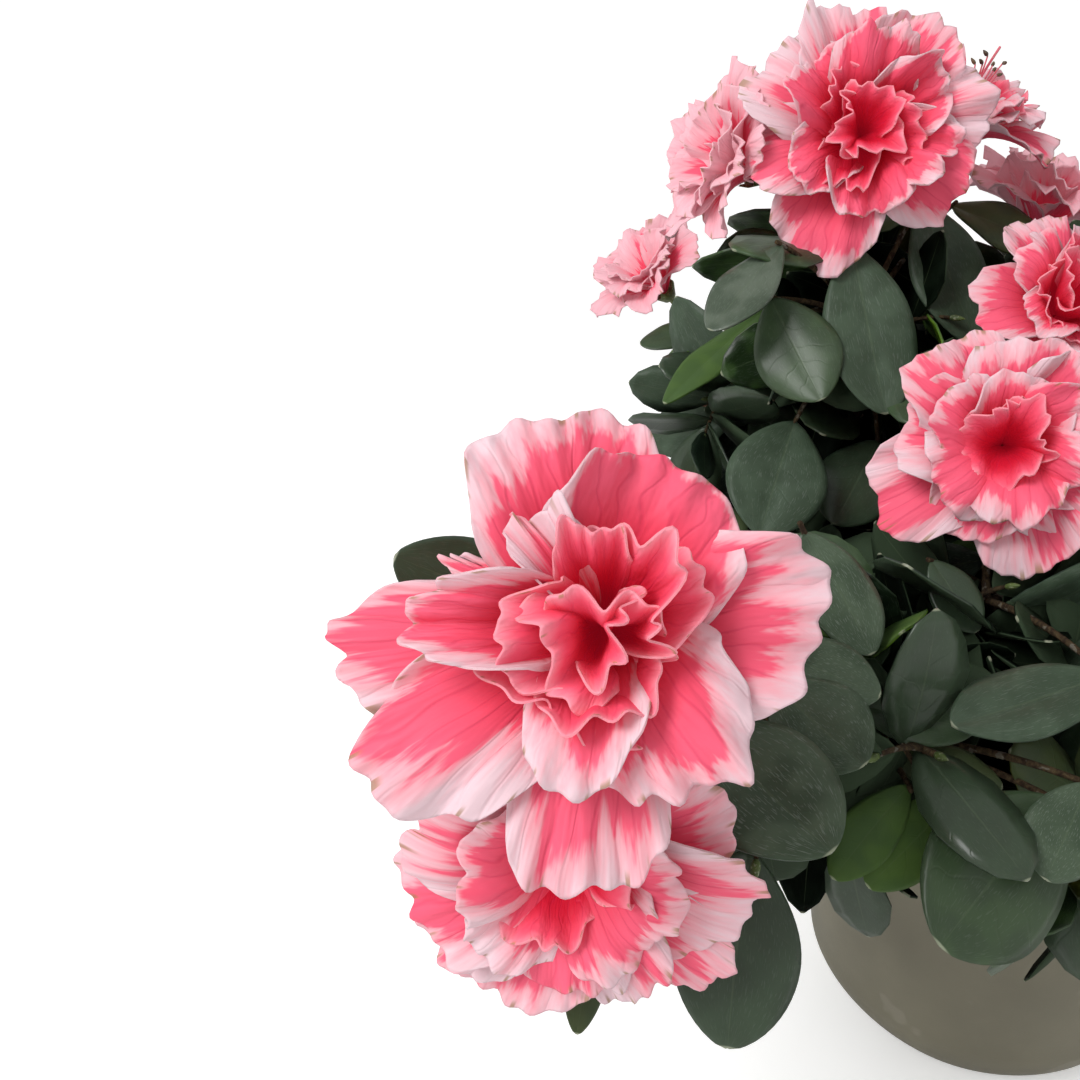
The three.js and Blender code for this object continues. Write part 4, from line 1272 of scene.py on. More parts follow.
def pot_material(props):
    """Matte taupe plastic, faintly mottled, with the fine grain of a moulded skin."""
    material, tree, shader = new_material("pot_plastic", 0.5, 0.3)
    places = object_places(tree)
    dust, grain = specks(tree, places, 55.0, 0.45, 1500.0)
    cloud = noise(tree, places, 22.0, 4.0)
    light = tuple(min(1.0, 1.12 * value) for value in props.pot_colour)
    dark = tuple(0.86 * value for value in props.pot_colour)
    colour = mix(tree, ramp(tree, cloud, 0.3, 0.7), dark, light)
    colour = mix(tree, times(tree, dust, 0.1), colour, (0.5, 0.48, 0.42))
    roughness = plus(tree, 0.46, times(tree, grain, 0.14))
    tree.links.new(roughness, shader.inputs["Roughness"])
    surface(tree, shader, colour, grain, 0.25, 0.0002)
    return material


# The properties that a user would change


def colour_property(name, description, default):
    """A colour with its name and default."""
    return FloatVectorProperty(
        name=name, description=description, default=default, min=0, max=1, size=3, subtype="COLOR"
    )


class PotProperties(bpy.types.PropertyGroup):
    pot_colour: colour_property("Pot", "Colour of the pot's plastic", (0.165, 0.152, 0.108))
    soil_dark: colour_property("Peat", "Darkest colour of the potting mix", (0.012, 0.008, 0.005))
    soil_brown: colour_property("Fibre", "Brown of the potting mix", (0.06, 0.038, 0.022))
    lip_round: FloatProperty(
        name="Lip rounding",
        description="Radius of the rounded edge of the pot's lip",
        default=0.0008,
        min=0.0,
        max=0.0015,
        unit="LENGTH",
    )


class PlantProperties(bpy.types.PropertyGroup):
    bark_light: colour_property("Bark", "Lighter colour of the bark", (0.10, 0.062, 0.038))
    bark_dark: colour_property("Bark cracks", "Darker colour of the bark", (0.035, 0.022, 0.014))
    twig_light: colour_property("Twig", "Colour of the young twigs", (0.08, 0.055, 0.026))
    twig_dark: colour_property("Twig shade", "Darker colour of the twigs", (0.025, 0.014, 0.008))
    leaf_dark: colour_property("Dark leaf", "Old leaves", (0.015, 0.031, 0.016))
    leaf_grey: colour_property("Grey leaf", "Downy leaves", (0.048, 0.074, 0.052))
    leaf_mid: colour_property("Green leaf", "Summer leaves", (0.038, 0.076, 0.022))
    leaf_olive: colour_property("Olive leaf", "Leaves that turn yellow", (0.052, 0.058, 0.006))
    leaf_young: colour_property("Young leaf", "New leaves", (0.085, 0.165, 0.012))
    # A pale base colour for glossy downy leaves: partly their down, partly painted sheen.
    leaf_silver: colour_property("Silver leaf", "Glossy downy leaves", (0.16, 0.18, 0.15))
    leaf_midrib: colour_property("Midrib", "The rib down a leaf", (0.16, 0.21, 0.11))
    leaf_hair: colour_property("Hairs", "The pale hairs on a leaf", (0.34, 0.38, 0.35))
    leaf_tip: colour_property("Leaf tip", "The pale point of a leaf", (0.55, 0.58, 0.42))
    leaf_underside: colour_property("Underside", "The lower face of a leaf", (0.07, 0.105, 0.06))


class FlowerProperties(bpy.types.PropertyGroup):
    petal_margin: colour_property("Margin", "The pale edge of a petal", (0.76, 0.55, 0.60))
    petal_blush: colour_property("Blush", "The margin near the pink", (0.84, 0.34, 0.40))
    petal_pink: colour_property("Pink", "The flames that reach out", (0.86, 0.11, 0.19))
    petal_rose: colour_property("Rose", "The middle of a petal", (0.80, 0.055, 0.11))
    petal_throat: colour_property("Throat", "Deep in the flower", (0.58, 0.010, 0.035))
    petal_vein: colour_property("Vein", "The fine veins", (0.55, 0.02, 0.08))
    petal_spot: colour_property("Spots", "Brown spots on old margins", (0.30, 0.17, 0.06))


class StageProperties(bpy.types.PropertyGroup):
    sky: FloatProperty(name="Sky", description="Strength of the even light", default=0.62, min=0)
    key: FloatProperty(
        name="Key light", description="Power of the main light", default=15.0, min=0, unit="POWER"
    )
    floor_colour: colour_property("Floor", "Colour of the floor", (0.93, 0.93, 0.925))


# The pieces


def wall_radius(height):
    """The pot's outside: a quarter wave up to the belly, and a straight taper above it."""
    height = np.asarray(height, float)
    upper = lerp(
        POT_BELLY_RADIUS,
        POT_RIM_RADIUS - LIP_WIDTH,
        (height - POT_BELLY_HEIGHT) / (POT_HEIGHT - POT_BELLY_HEIGHT),
    )
    share = np.clip(height / POT_BELLY_HEIGHT, 0, 1)
    lower = lerp(POT_FOOT_RADIUS, POT_BELLY_RADIUS, np.sin(np.pi / 2 * share))
    return np.where(height >= POT_BELLY_HEIGHT, upper, lower)


def turned_grid(profile, angles):
    """A profile of radius and height carried round the axis."""
    profile = np.asarray(profile, float)
    return np.stack(
        [
            profile[:, :1] * np.cos(angles),
            profile[:, :1] * np.sin(angles),
            np.broadcast_to(profile[:, 1:], (len(profile), len(angles))),
        ],
        axis=-1,
    )


def rounded(centre, radius, first, last, count):
    """Points on an arc about a centre of radius and height, from one angle in degrees to another."""
    angle = np.radians(np.linspace(first, last, count))
    return np.column_stack([centre[0] + radius * np.cos(angle), centre[1] + radius * np.sin(angle)])


POT_AROUND = 144


def pot_profile(lip_round):
    """The pot's outline from the foot, up the outside, over the lip and down the inside."""
    low = np.concatenate([[0, 0.25, 0.8, 1.8, 3.2], np.linspace(5, POT_BELLY_HEIGHT, 12)])
    outside = np.column_stack([wall_radius(low), low])
    outside[0, 0] -= 0.6
    high = np.linspace(POT_BELLY_HEIGHT + 5, POT_HEIGHT - LIP_DEPTH - 0.5, 10)
    wall = np.column_stack([wall_radius(high), high])
    under = POT_HEIGHT - LIP_DEPTH
    lip_foot = rounded((POT_RIM_RADIUS - 0.4 - lip_round, under + lip_round), lip_round, -90, 0, 5)
    lip_top = rounded((POT_RIM_RADIUS - lip_round, POT_HEIGHT - lip_round), lip_round, 0, 90, 6)
    inner = POT_RIM_RADIUS - POT_WALL - LIP_WIDTH
    lip_in = rounded((inner + lip_round, POT_HEIGHT - lip_round), lip_round, 90, 180, 5)
    corner = [(wall_radius(under), under)]
    down = np.concatenate([np.linspace(POT_HEIGHT - 5, POT_BELLY_HEIGHT, 8), [16, 9, 5, 3, POT_WALL]])
    inside = np.column_stack([wall_radius(down) - POT_WALL, down])
    return np.concatenate([outside, wall, corner, lip_foot, lip_top, lip_in, inside])


def drain_plates(outer_radius, height):
    """A flat floor with round drains, as one grid of points a sector.

    In each sector lines run from the rim of its drain to the sector's edge, and the grid's rows are rings
    that widen from the one to the other.
    """
    half = math.pi / DRAIN_COUNT
    turn = np.linspace(-half, half, POT_AROUND // DRAIN_COUNT + 1)
    arc = np.column_stack([np.cos(turn), np.sin(turn)])
    side = lerp(outer_radius, HUB_RADIUS, np.linspace(0, 1, 7)[1:-1])[:, None]
    edge = [outer_radius * arc, side * arc[-1], HUB_RADIUS * arc[::-1], side[::-1] * arc[0]]
    offset = np.concatenate(edge) - (DRAIN_RING_RADIUS, 0)
    share = np.array([0, 0.08, 0.3, 0.65, 1])[:, None, None]
    flat = lerp(DRAIN_RADIUS * unit(offset), offset, share) + (DRAIN_RING_RADIUS, 0)
    grids = []
    for sector in range(DRAIN_COUNT):
        angle = 2 * math.pi * sector / DRAIN_COUNT
        x = flat[..., 0] * math.cos(angle) - flat[..., 1] * math.sin(angle)
        y = flat[..., 0] * math.sin(angle) + flat[..., 1] * math.cos(angle)
        grids.append(np.stack([x, y, np.full_like(x, height)], axis=-1))
    return grids


def welded(parts, reach=0.002):
    """Joins corners that lie within reach of each other, and drops the faces that this closes up."""
    corners = np.concatenate(parts.corners)
    triangles = [np.column_stack([rows, rows[:, 2]]) for rows in parts.triangles]
    faces = np.concatenate([*parts.quads, *triangles])
    cells = np.round(corners / reach).astype(int)
    _, first, same = np.unique(cells, axis=0, return_index=True, return_inverse=True)
    faces = same.ravel()[faces]
    flat = (faces == np.roll(faces, 1, axis=1)).any(axis=1)
    rest = [list(dict.fromkeys(face)) for face in faces[flat].tolist()]
    joined = MeshParts()
    joined.add(corners[first], faces[~flat], [face for face in rest if len(face) == 3])
    return joined


def pot_parts(lip_round):
    """The pot: its turned wall and the two faces of its floor with the drains between them."""
    parts = MeshParts()
    near = np.arange(POT_AROUND)
    turn = 2 * np.pi * near / POT_AROUND
    profile = pot_profile(lip_round)
    parts.add(turned_grid(profile, turn), grid_quads(len(profile), POT_AROUND, wrap=True))
    fan = np.column_stack([near, (near + 1) % POT_AROUND, np.full(POT_AROUND, POT_AROUND)])
    floors = []
    for radius, height, order in ((profile[0, 0], 0.0, -1), (profile[-1, 0], POT_WALL, 1)):
        plates = drain_plates(radius, height)
        floors.append(plates)
        for plate in plates:
            parts.add(plate, grid_quads(*plate.shape[:2], wrap=True)[:, ::order])
        hub = turned_grid([(HUB_RADIUS, height)], turn - math.pi / DRAIN_COUNT)[0]
        parts.add([*hub, (0, 0, height)], [], fan[:, ::order])
    for low, high in zip(*floors):
        tube = np.stack([low[0], high[0]])
        parts.add(tube, grid_quads(*tube.shape[:2], wrap=True)[:, ::-1])
    return welded(parts)


class AZALEA_OT_pot(bpy.types.Operator):
    """Turns the pot from its outline and pierces its floor"""

    bl_idname = "azalea.pot"
    bl_label = "Pot"

    def execute(self, context):
        props = context.scene.azalea_pot
        parts = pot_parts(props.lip_round / MM)
        piece = put_mesh("pot_shell", parts, [pot_material(props)])
        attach(piece, "root")
        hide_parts("pot")
        return {"FINISHED"}


def rough_height(x, y):
    """The uneven top of the potting mix: a sum of slanting waves of several sizes."""
    height = 0.9 * np.sin(0.31 * x + 0.17 * y) * np.sin(0.23 * y - 0.11 * x + 1)
    height += 0.5 * np.sin(0.83 * x - 0.61 * y + 2) * np.sin(0.71 * y + 0.35 * x)
    return height + 0.28 * np.sin(2.3 * x + 1.1 * y) * np.sin(1.9 * y - 1.3 * x + 0.5)


SOIL_AROUND = 96
SOIL_FOOT = 2.2


def soil_parts():
    """The potting mix: a turned body with a rough top, under a scatter of crumbs."""
    parts = MeshParts()
    room = POT_WALL + CLEARANCE
    angles = 2 * np.pi * np.arange(SOIL_AROUND) / SOIL_AROUND
    rim = float(wall_radius(SOIL_LEVEL - SOIL_SLUMP)) - room
    heights = np.array([SOIL_FOOT, 5, 9, 16, POT_BELLY_HEIGHT, 40, 60, SOIL_LEVEL - SOIL_SLUMP])
    side = np.column_stack([wall_radius(heights) - room, heights])
    top_radii = np.concatenate([np.linspace(rim, SOIL_FLAT_RADIUS, 40)[1:], np.linspace(12, 0.5, 8)])
    fall = SOIL_SLUMP * smooth(SOIL_FLAT_RADIUS, rim, top_radii)
    top = np.column_stack([top_radii, SOIL_LEVEL - fall])
    grid = turned_grid(np.concatenate([[(0.01, SOIL_FOOT)], side, top]), angles)
    rough = rough_height(grid[..., 0], grid[..., 1])
    on_top = np.arange(len(grid)) > len(side)
    calm = smooth(rim, rim - 4, np.hypot(grid[..., 0], grid[..., 1]))
    grid[..., 2] += np.where(on_top[:, None], (rough - 0.8) * calm, 0)
    add_rings(parts, grid[::-1], [(0, 0, grid[-1, :, 2].mean()), (0, 0, SOIL_FOOT)])
    add_crumbs(parts, rim)
    return parts


CRUMB_COUNT = 900


def add_crumbs(parts, rim):
    """Crumbs: small eight-cornered lumps, squashed and turned at random, pressed into the top."""
    chance = np.random.default_rng(41)
    radius = (rim - 2.5) * np.sqrt(chance.random(CRUMB_COUNT))
    angle = 2 * np.pi * chance.random(CRUMB_COUNT)
    x, y = radius * np.cos(angle), radius * np.sin(angle)
    z = SOIL_LEVEL - SOIL_SLUMP * smooth(SOIL_FLAT_RADIUS, rim, radius) + rough_height(x, y) - 0.7
    size = 0.5 + 1.3 * chance.random(CRUMB_COUNT) ** 2
    cube = np.array([(a, b, c) for c in (-1, 1) for a, b in ((-1, -1), (1, -1), (1, 1), (-1, 1))], float)
    turn, _ = np.linalg.qr(chance.normal(size=(CRUMB_COUNT, 3, 3)))
    turn *= np.sign(np.linalg.det(turn))[:, None, None]
    squash = 0.55 + 0.6 * chance.random((CRUMB_COUNT, 1, 3))
    corners = cube[None] * squash * (1 + 0.25 * chance.normal(size=(CRUMB_COUNT, 8, 1)))
    corners = np.einsum("nij,nkj->nki", turn, corners) * (0.6 * size)[:, None, None]
    corners += np.column_stack([x, y, z])[:, None]
    faces = np.array(
        [(0, 3, 2, 1), (4, 5, 6, 7), (0, 1, 5, 4), (1, 2, 6, 5), (2, 3, 7, 6), (3, 0, 4, 7)]
    )
    quads = (faces[None] + 8 * np.arange(CRUMB_COUNT)[:, None, None]).reshape(-1, 4)
    tints = np.repeat((chance.random(CRUMB_COUNT) < 0.07).astype(int), 6)
    parts.add(corners, quads, tint=tints, smooth=False)


def grain_material():
    """Pale volcanic grains among the peat."""
    material, tree, shader = new_material("pale_grain", 0.9)
    dust, grain = specks(tree, object_places(tree), 900.0, 0.6, 2200.0)
    colour = mix(tree, dust, (0.52, 0.50, 0.45), (0.30, 0.27, 0.22))
    surface(tree, shader, colour, grain, 0.6, 0.0004)
    return material


class AZALEA_OT_potting_mix(bpy.types.Operator):
    """Fills the pot with peat and scatters crumbs over it"""

    bl_idname = "azalea.potting_mix"
    bl_label = "Potting mix"

    def execute(self, context):
        materials = [soil_material(context.scene.azalea_pot), grain_material()]
        piece = put_mesh("potting_mix_top", soil_parts(), materials)
        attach(piece, "root")
        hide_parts("potting_mix")
        return {"FINISHED"}


def trunk_parts():
    """The trunk: a ring carried up its line, with root lobes that fade from the foot and bark relief."""
    parts = MeshParts()
    t = np.linspace(0, 1, 70)[:, None]
    centre = TRUNK_LINE.point(t[:, 0])
    angle = 2 * np.pi * np.arange(48) / 48
    lobes = 0.6 + 0.4 * np.cos(ROOT_COUNT * angle)
    flare = ROOT_FLARE * lobes * np.exp((centre[0, 2] - centre[:, 2:]) / ROOT_FLARE_HEIGHT)
    radius = lerp(TRUNK_FOOT_RADIUS, TRUNK_TIP_RADIUS, t) * (1 + flare)
    plates = np.sin(9 * angle + 2.2 * np.sin(7 * t)) * np.sin(21 * t + 3 * np.sin(2 * angle))
    plates += 0.6 * np.sin(17 * angle - 9 * t) * np.sin(37 * t + 5 * angle)
    radius = radius + 0.22 * plates
    x = centre[:, :1] + radius * np.cos(angle)
    y = centre[:, 1:2] - radius * np.sin(angle)
    grid = np.stack([x, y, np.broadcast_to(centre[:, 2:], x.shape)], axis=-1)
    add_rings(parts, grid, centre[[0, -1]])
    return parts


class AZALEA_OT_trunk(bpy.types.Operator):
    """Grows the trunk with its root lobes and bark"""

    bl_idname = "azalea.trunk"
    bl_label = "Trunk"

    def execute(self, context):
        props = context.scene.azalea_plant
        bark = bark_material("trunk_bark", props.bark_light, props.bark_dark, 420.0)
        piece = put_mesh("trunk_bark", trunk_parts(), [bark])
        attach(piece, "root")
        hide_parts("trunk")
        return {"FINISHED"}


class AZALEA_OT_boughs(bpy.types.Operator):
    """Grows the boughs that carry the foliage and the ones that carry the flowers"""

    bl_idname = "azalea.boughs"
    bl_label = "Boughs"

    def execute(self, context):
        props = context.scene.azalea_plant
        plant = whole_plant()
        parts = MeshParts()
        for i, mass in enumerate(plant.masses):
            add_tube(parts, mass.line, BOUGH_RADII, 48, 12, rough=0.1, seed=i)
        for i, truss in enumerate(plant.trusses):
            add_tube(parts, truss.line, FLOWER_BOUGH_RADII, 36, 10, rough=0.1, seed=20 + i)
        bark = bark_material("bough_bark", props.bark_light, props.bark_dark, 600.0)
        piece = put_mesh("boughs_bark", parts, [bark])
        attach(piece, "root")
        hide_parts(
            *[f"bough_{mass.name}" for mass in plant.masses],
            *[f"flower_bough_{truss.name}" for truss in plant.trusses],
        )
        return {"FINISHED"}


BUD_PROFILE = [(0.0, 0.35), (0.12, 0.8), (0.35, 1.0), (0.65, 0.75), (0.88, 0.35), (1.0, 0.04)]


def add_bud(parts, at, direction, length, width, tint):
    """A pointed bud: rings whose radii swell and close again along its direction."""
    side, lift = cross_directions(direction)
    share, swell = np.array(BUD_PROFILE).T
    angle = 2 * np.pi * np.arange(6) / 6
    ring = np.cos(angle)[:, None] * side + np.sin(angle)[:, None] * lift
    middle = at + share[:, None] * length * direction
    rings = middle[:, None] + 0.5 * width * swell[:, None, None] * ring
    add_rings(parts, rings, middle[[0, -1]], tint)


class AZALEA_OT_twigs(bpy.types.Operator):
    """Grows the stems, shoots and fine twigs of every mass, with a bud at each tip"""

    bl_idname = "azalea.twigs"
    bl_label = "Twigs"

    def execute(self, context):
        props = context.scene.azalea_plant
        plant = whole_plant()
        parts = MeshParts()
        tips = []
        for i, mass in enumerate(plant.masses):
            add_tube(parts, mass.stem, (BOUGH_RADII[1], 1.2), 14, 8, rough=0.08, seed=i)
            for shoot in mass.shoots:
                add_tube(parts, shoot.line, (1.2, 0.75), 12, 6, tint=1, seed=i)
                tips.append(shoot.line)
            for line in mass.fine_twigs:
                add_tube(parts, line, (0.8, 0.5), 7, 5, tint=1, seed=i)
                tips.append(line)
        for single in plant.chosen:
            add_tube(parts, single.twig, (1.0, 0.6), 14, 6, tint=1)
        for i, line in enumerate(tips):
            brown = 3 if i % 3 == 0 else 2
            add_bud(parts, line.point(1.0), line.tangent(1.0), 4.2, 1.9, brown)
        materials = [
            bark_material("stem_bark", props.bark_light, props.bark_dark, 700.0),
            bark_material("twig_bark", props.twig_light, props.twig_dark, 900.0),
            plain_green_material("green_bud", (0.10, 0.15, 0.03), (0.04, 0.06, 0.015)),
            plain_green_material("brown_bud", (0.26, 0.09, 0.025), (0.10, 0.035, 0.012)),
        ]
        piece = put_mesh("twigs_and_buds", parts, materials)
        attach(piece, "root")
        return {"FINISHED"}


LEAF_ROWS = np.array([0.0, 0.05, 0.18, 0.38, 0.58, 0.77, 0.92, 1.0])
LEAF_COLUMNS = np.array([-1.0, -0.5, 0.0, 0.5, 1.0])
FINE_LEAF_ROWS = np.concatenate([np.linspace(0, 0.9, 20), [0.94, 0.97, 0.985, 1.0]])
FINE_LEAF_COLUMNS = np.linspace(-1, 1, 13)
TINTS = ["dark", "grey", "mid", "olive", "young", "silver", "hairy", "deep"]
# Leaves in the crown's shade get the last, near-black tint: painted shade. These two rules pick them out.
DEEP_SHARE = 0.62  # leaves whose tips are nearer to the middle of a mass than this are in its shade
SHADE_REACH = 34  # and so are those with many other leaves within this distance of a place above them
SHADE_COUNT = 21
TINT_SHARES = [0.52, 0.16, 0.22, 0.05, 0.05]
LOW_TINT_SHARES = [0.22, 0.30, 0.34, 0.04, 0.10]


def leaf_outline(u):
    """Half the width of a real leaf: an oval a little broader past its middle, on a narrow foot."""
    return np.clip(np.sin(np.pi * np.clip(u, 0, 1) ** 1.15), 0, 1) ** 0.62 + 0.03


def leaf_grids(leaves, rows, columns, seeds):
    """Leaf sheets for many leaves at once.

    Along by u and across by v times the outline; the sheet droops with u squared, folds up from the
    midrib with v, rolls down at the edges with v squared, and ripples a little along its sides.
    """
    u, v = rows[None, :, None, None], columns[None, None, :, None]
    outline = leaf_outline(u)

    def each(name):
        return np.array([getattr(leaf, name) for leaf in leaves], float)

    length = each("length")[:, None, None, None]
    width = each("width")[:, None, None, None]
    droop = each("droop")[:, None, None, None]
    axes = [each(name)[:, None, None] for name in ("foot", "tipward", "across", "upper")]
    phase = seeds[:, None, None, None]
    fold = 0.10 + 0.06 * np.sin(5 * phase)
    bend = 0.05 * np.sin(7 * phase) * length * u * u
    ripple = 0.02 * length * np.sin(9 * u + 11 * phase + np.sign(v)) * v * v
    height = -droop * u * u - 0.12 * width * v * v * outline + fold * width * np.abs(v) * outline
    height = height + ripple * outline + bend
    sway = 0.03 * np.sin(3 * phase) * length * u * u
    sideways = 0.5 * width * v * outline + sway
    return axes[0] + length * u * axes[1] + sideways * axes[2] + height * axes[3]


def leaf_tips(leaves):
    """The place near the tip of each leaf."""
    return np.array([leaf_place(leaf, 0.8, 0.0) for leaf in leaves])


def in_shade(leaves, plant, others):
    """True for leaves that lie far inside a mass, or under many others, and so are given painted shade."""
    tips = leaf_tips(leaves)
    depth = [np.linalg.norm(tips - near.centre, axis=1) / near.reach for near in plant.masses]
    above = tips + 0.8 * SHADE_REACH * UP + 0.4 * SHADE_REACH * unit(tips * (1, 1, 0))
    crowd = [(np.linalg.norm(others - place, axis=1) < SHADE_REACH).sum() for place in above]
    return (np.min(depth, axis=0) < DEEP_SHARE) | (np.array(crowd) > SHADE_COUNT)


def add_leaves(parts, leaves, rows, columns, seeds, tints, thickness):
    """Adds leaves as thin closed shells that know how far along and across each of their points is."""
    grids = leaf_grids(leaves, rows, columns, seeds)
    along, across = np.meshgrid(rows, columns, indexing="ij")
    place = np.stack(np.broadcast_arrays(across[None], along[None], 0.1 + seeds[:, None, None]), axis=-1)
    add_shells(parts, grids, thickness, place, np.asarray(tints))


def leaf_materials(props):
    """The tints of the foliage, in the order of TINTS: colour, shade, hair, roughness and gloss."""
    finishes = [
        (props.leaf_dark, (0.004, 0.009, 0.005), 0.09, 0.28, 0.36),
        (props.leaf_grey, (0.018, 0.031, 0.022), 0.18, 0.42, 0.20),
        (props.leaf_mid, (0.011, 0.025, 0.007), 0.10, 0.34, 0.28),
        (props.leaf_olive, (0.028, 0.034, 0.005), 0.03, 0.40, 0.20),
        (props.leaf_young, (0.045, 0.10, 0.008), 0.02, 0.42, 0.10),
        # Pale base: partly the down, partly painted sheen, with real gloss on top.
        (props.leaf_silver, (0.03, 0.04, 0.03), 0.25, 0.28, 0.45),
        ((0.060, 0.084, 0.056), (0.020, 0.033, 0.021), 0.34, 0.42, 0.20),
        # Near black with little gloss, for leaves in the crown's shade: painted shade.
        ((0.004, 0.008, 0.004), (0.001, 0.003, 0.001), 0.01, 0.60, 0.04),
    ]
    return [leaf_material(f"leaf_{tint}", *finish, props) for tint, finish in zip(TINTS, finishes)]


LEAF_GROUPS = {
    "leaves_low": ["low_front", "low_right", "low_back_left", "low_front_right", "low_back_right"],
    "leaves_middle": ["low_left", "mid_front_right", "mid_right", "mid_back", "mid_front_left"],
    "leaves_spray": ["back_left", "front_left_spray", "front_left", "top_left", "top_right"],
}


class AZALEA_OT_leaves(bpy.types.Operator):
    """Grows the leaves of every mass, and the single leaves that stand out of the crown"""

    bl_idname = "azalea.leaves"
    bl_label = "Leaves"

    def execute(self, context):
        plant = whole_plant()
        materials = leaf_materials(context.scene.azalea_plant)
        tips = leaf_tips([leaf for mass in plant.masses for leaf in mass.leaves])
        for name, members in LEAF_GROUPS.items():
            parts = MeshParts()
            for mass in plant.masses:
                if mass.name not in members:
                    continue
                chance = np.random.default_rng(600 + mass.order)
                count = len(mass.leaves)
                shares = LOW_TINT_SHARES if name == "leaves_low" else TINT_SHARES
                spray = chance.choice(len(shares), size=count // 5 + 1, p=shares)
                # Leaves in the crown's shade take the near-black tint: painted shade.
                deep = in_shade(mass.leaves, plant, tips)
                tints = np.where(deep, TINTS.index("deep"), np.repeat(spray, 5)[:count])
                seeds = chance.random(count) * 5
                add_leaves(parts, mass.leaves, LEAF_ROWS, LEAF_COLUMNS, seeds, tints, 0.5)
            piece = put_mesh(name, parts, materials, "leaf_place")
            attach(piece, "root")
            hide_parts(*[f"foliage_{member}" for member in members])
        parts = MeshParts()
        singles = [single.leaf for single in plant.chosen]
        seeds = np.random.default_rng(77).random(len(singles)) * 5
        tints = [TINTS.index(leaf.tint) for leaf in singles]
        add_leaves(parts, singles, FINE_LEAF_ROWS, FINE_LEAF_COLUMNS, seeds, tints, 0.5)
        piece = put_mesh("leaves_single", parts, materials, "leaf_place")
        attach(piece, "root")
        return {"FINISHED"}


# Petals

INNER_REACH = 0.24  # petals that reach out less than this share of the width are those of the heart
TUBE_DEPTH = 0.28  # how far behind the flower's middle the outer petals start, as a share of its width
HEART_DEPTH = 0.16  # and how far the innermost ones do


def petal_rows(rows):
    """How far out the rows of a petal lie, closer together towards the margin."""
    return 1 - 0.95 * np.linspace(1, 0, rows) ** 1.4


def petal_grid(flower, heart, petal, rows, columns, chance):
    """One petal as a grid of points.

    The outline spreads from the foot of the petal like a fan: u runs out to the margin and s from side to
    side, and the margin falls back by taper towards the sides, with a notch in its middle and fine teeth.
    The middle line is a curve drawn by three points, from the tube's foot out to the tip. Petals of the
    heart start less deep than the outer ones. The sheet follows the middle line, part flat and part wrapped
    round the flower's axis, so that a wrapped petal stands upright. It cups with the square of the distance
    across it, closes round the tube at its foot, rolls a little, curls back at the margin, and is ruffled
    by waves that grow towards the margin.
    """
    clock, out, ahead, spread, taper, arch, cup, ruffle, wrap, _ = petal
    width = flower.width
    side, lift = cross_directions(flower.facing)
    clock = math.radians(clock)
    radial = math.cos(clock) * lift - math.sin(clock) * side
    around = np.cross(flower.facing, radial)
    depth = lerp(HEART_DEPTH, TUBE_DEPTH, smooth(0.1, 0.3, out))
    tip_out, tip_ahead = out * width, (ahead + depth) * width
    pull = lerp(0.12, 0.34, min(out / 0.5, 1))
    turning = (lerp(pull, 0.95, wrap) * tip_out, lerp(1, 0.4, wrap) * tip_ahead + arch * width)
    line = Curve((0, 0), turning, (tip_out, tip_ahead))
    t = np.linspace(0, 1, 60)
    run = np.linalg.norm(np.diff(line.point(t), axis=0), axis=1).cumsum()
    length = run[-1]

    u = petal_rows(rows)[:, None]
    s = np.linspace(-1, 1, columns)[None, :]
    phases = chance.random(10) * 2 * np.pi
    pace = 0.8 + 0.4 * chance.random(6)
    edge = 1 - taper * np.abs(s) ** (4.1 - 3 * taper) + 0.03 * np.sin(6 * pace[0] * s + phases[0])
    teeth = np.sin(15 * pace[1] * s + phases[1]) + 0.7 * np.sin(27 * pace[2] * s + phases[2])
    edge = edge - 0.025 * np.exp(-((s / 0.1) ** 2)) + 0.014 * teeth * u**6
    reach = length * u * edge
    angle = math.radians(spread) * s
    across, along = reach * np.sin(angle), reach * np.cos(angle)

    at = np.interp(along, run, t[1:])
    bend = line.tangent(at)
    middle = line.point(at) + np.maximum(0, along - length)[..., None] * bend
    share = along / length
    roll = 0.14 + 0.16 * (chance.random() - 0.5) + 0.4 * (chance.random() - 0.5) * share

    broad = length * math.sin(math.radians(spread))
    slow, quick, fine = 2 + 5 * out, 6 + 12 * out, 14 + 26 * out
    waves = 0.8 * u**1.6 * np.sin(slow * pace[3] * s + phases[3] + u)
    waves = waves + 0.5 * u**3 * np.sin(quick * pace[4] * s + phases[4] - 2 * u)
    waves = waves + 0.34 * u**6 * np.sin(fine * pace[5] * s + phases[5] + 2 * np.sin(3 * s))
    height = ruffle * width * waves
    curl = (0.6 + 0.4 * np.sin(4 * s + phases[6])) * (0.02 + 0.06 * max(0, 0.4 - out))
    height = height - width * curl * smooth(0.72, 1.05, u) ** 1.5
    height = height + 0.007 * width * np.sin(8 * u + phases[7]) * np.cos(3 * s + phases[8]) * u
    height = height + cup * across**2 / broad
    flat_height = height + 0.5 * (1 - share) ** 2 * across**2 / (0.35 * broad) * (1 - wrap)

    def carried(turned, sideways, raised):
        """The sheet set on its middle line, with the way out turned round the axis by an angle."""
        outward = np.cos(turned)[..., None] * radial + np.sin(turned)[..., None] * around
        level = np.cos(turned)[..., None] * around - np.sin(turned)[..., None] * radial
        normal = bend[..., :1] * flower.facing - bend[..., 1:] * outward
        cross = np.cos(roll)[..., None] * level + np.sin(roll)[..., None] * normal
        normal = np.cos(roll)[..., None] * normal - np.sin(roll)[..., None] * level
        place = middle[..., :1] * outward + middle[..., 1:] * flower.facing
        return place + sideways[..., None] * cross + raised[..., None] * normal

    flat = carried(0 * across, across, flat_height)
    radius = np.maximum(middle[..., 0], 0.05 * width)
    wrapped = carried(across / radius, 0 * across, height)
    return heart - depth * width * flower.facing + lerp(flat, wrapped, wrap)


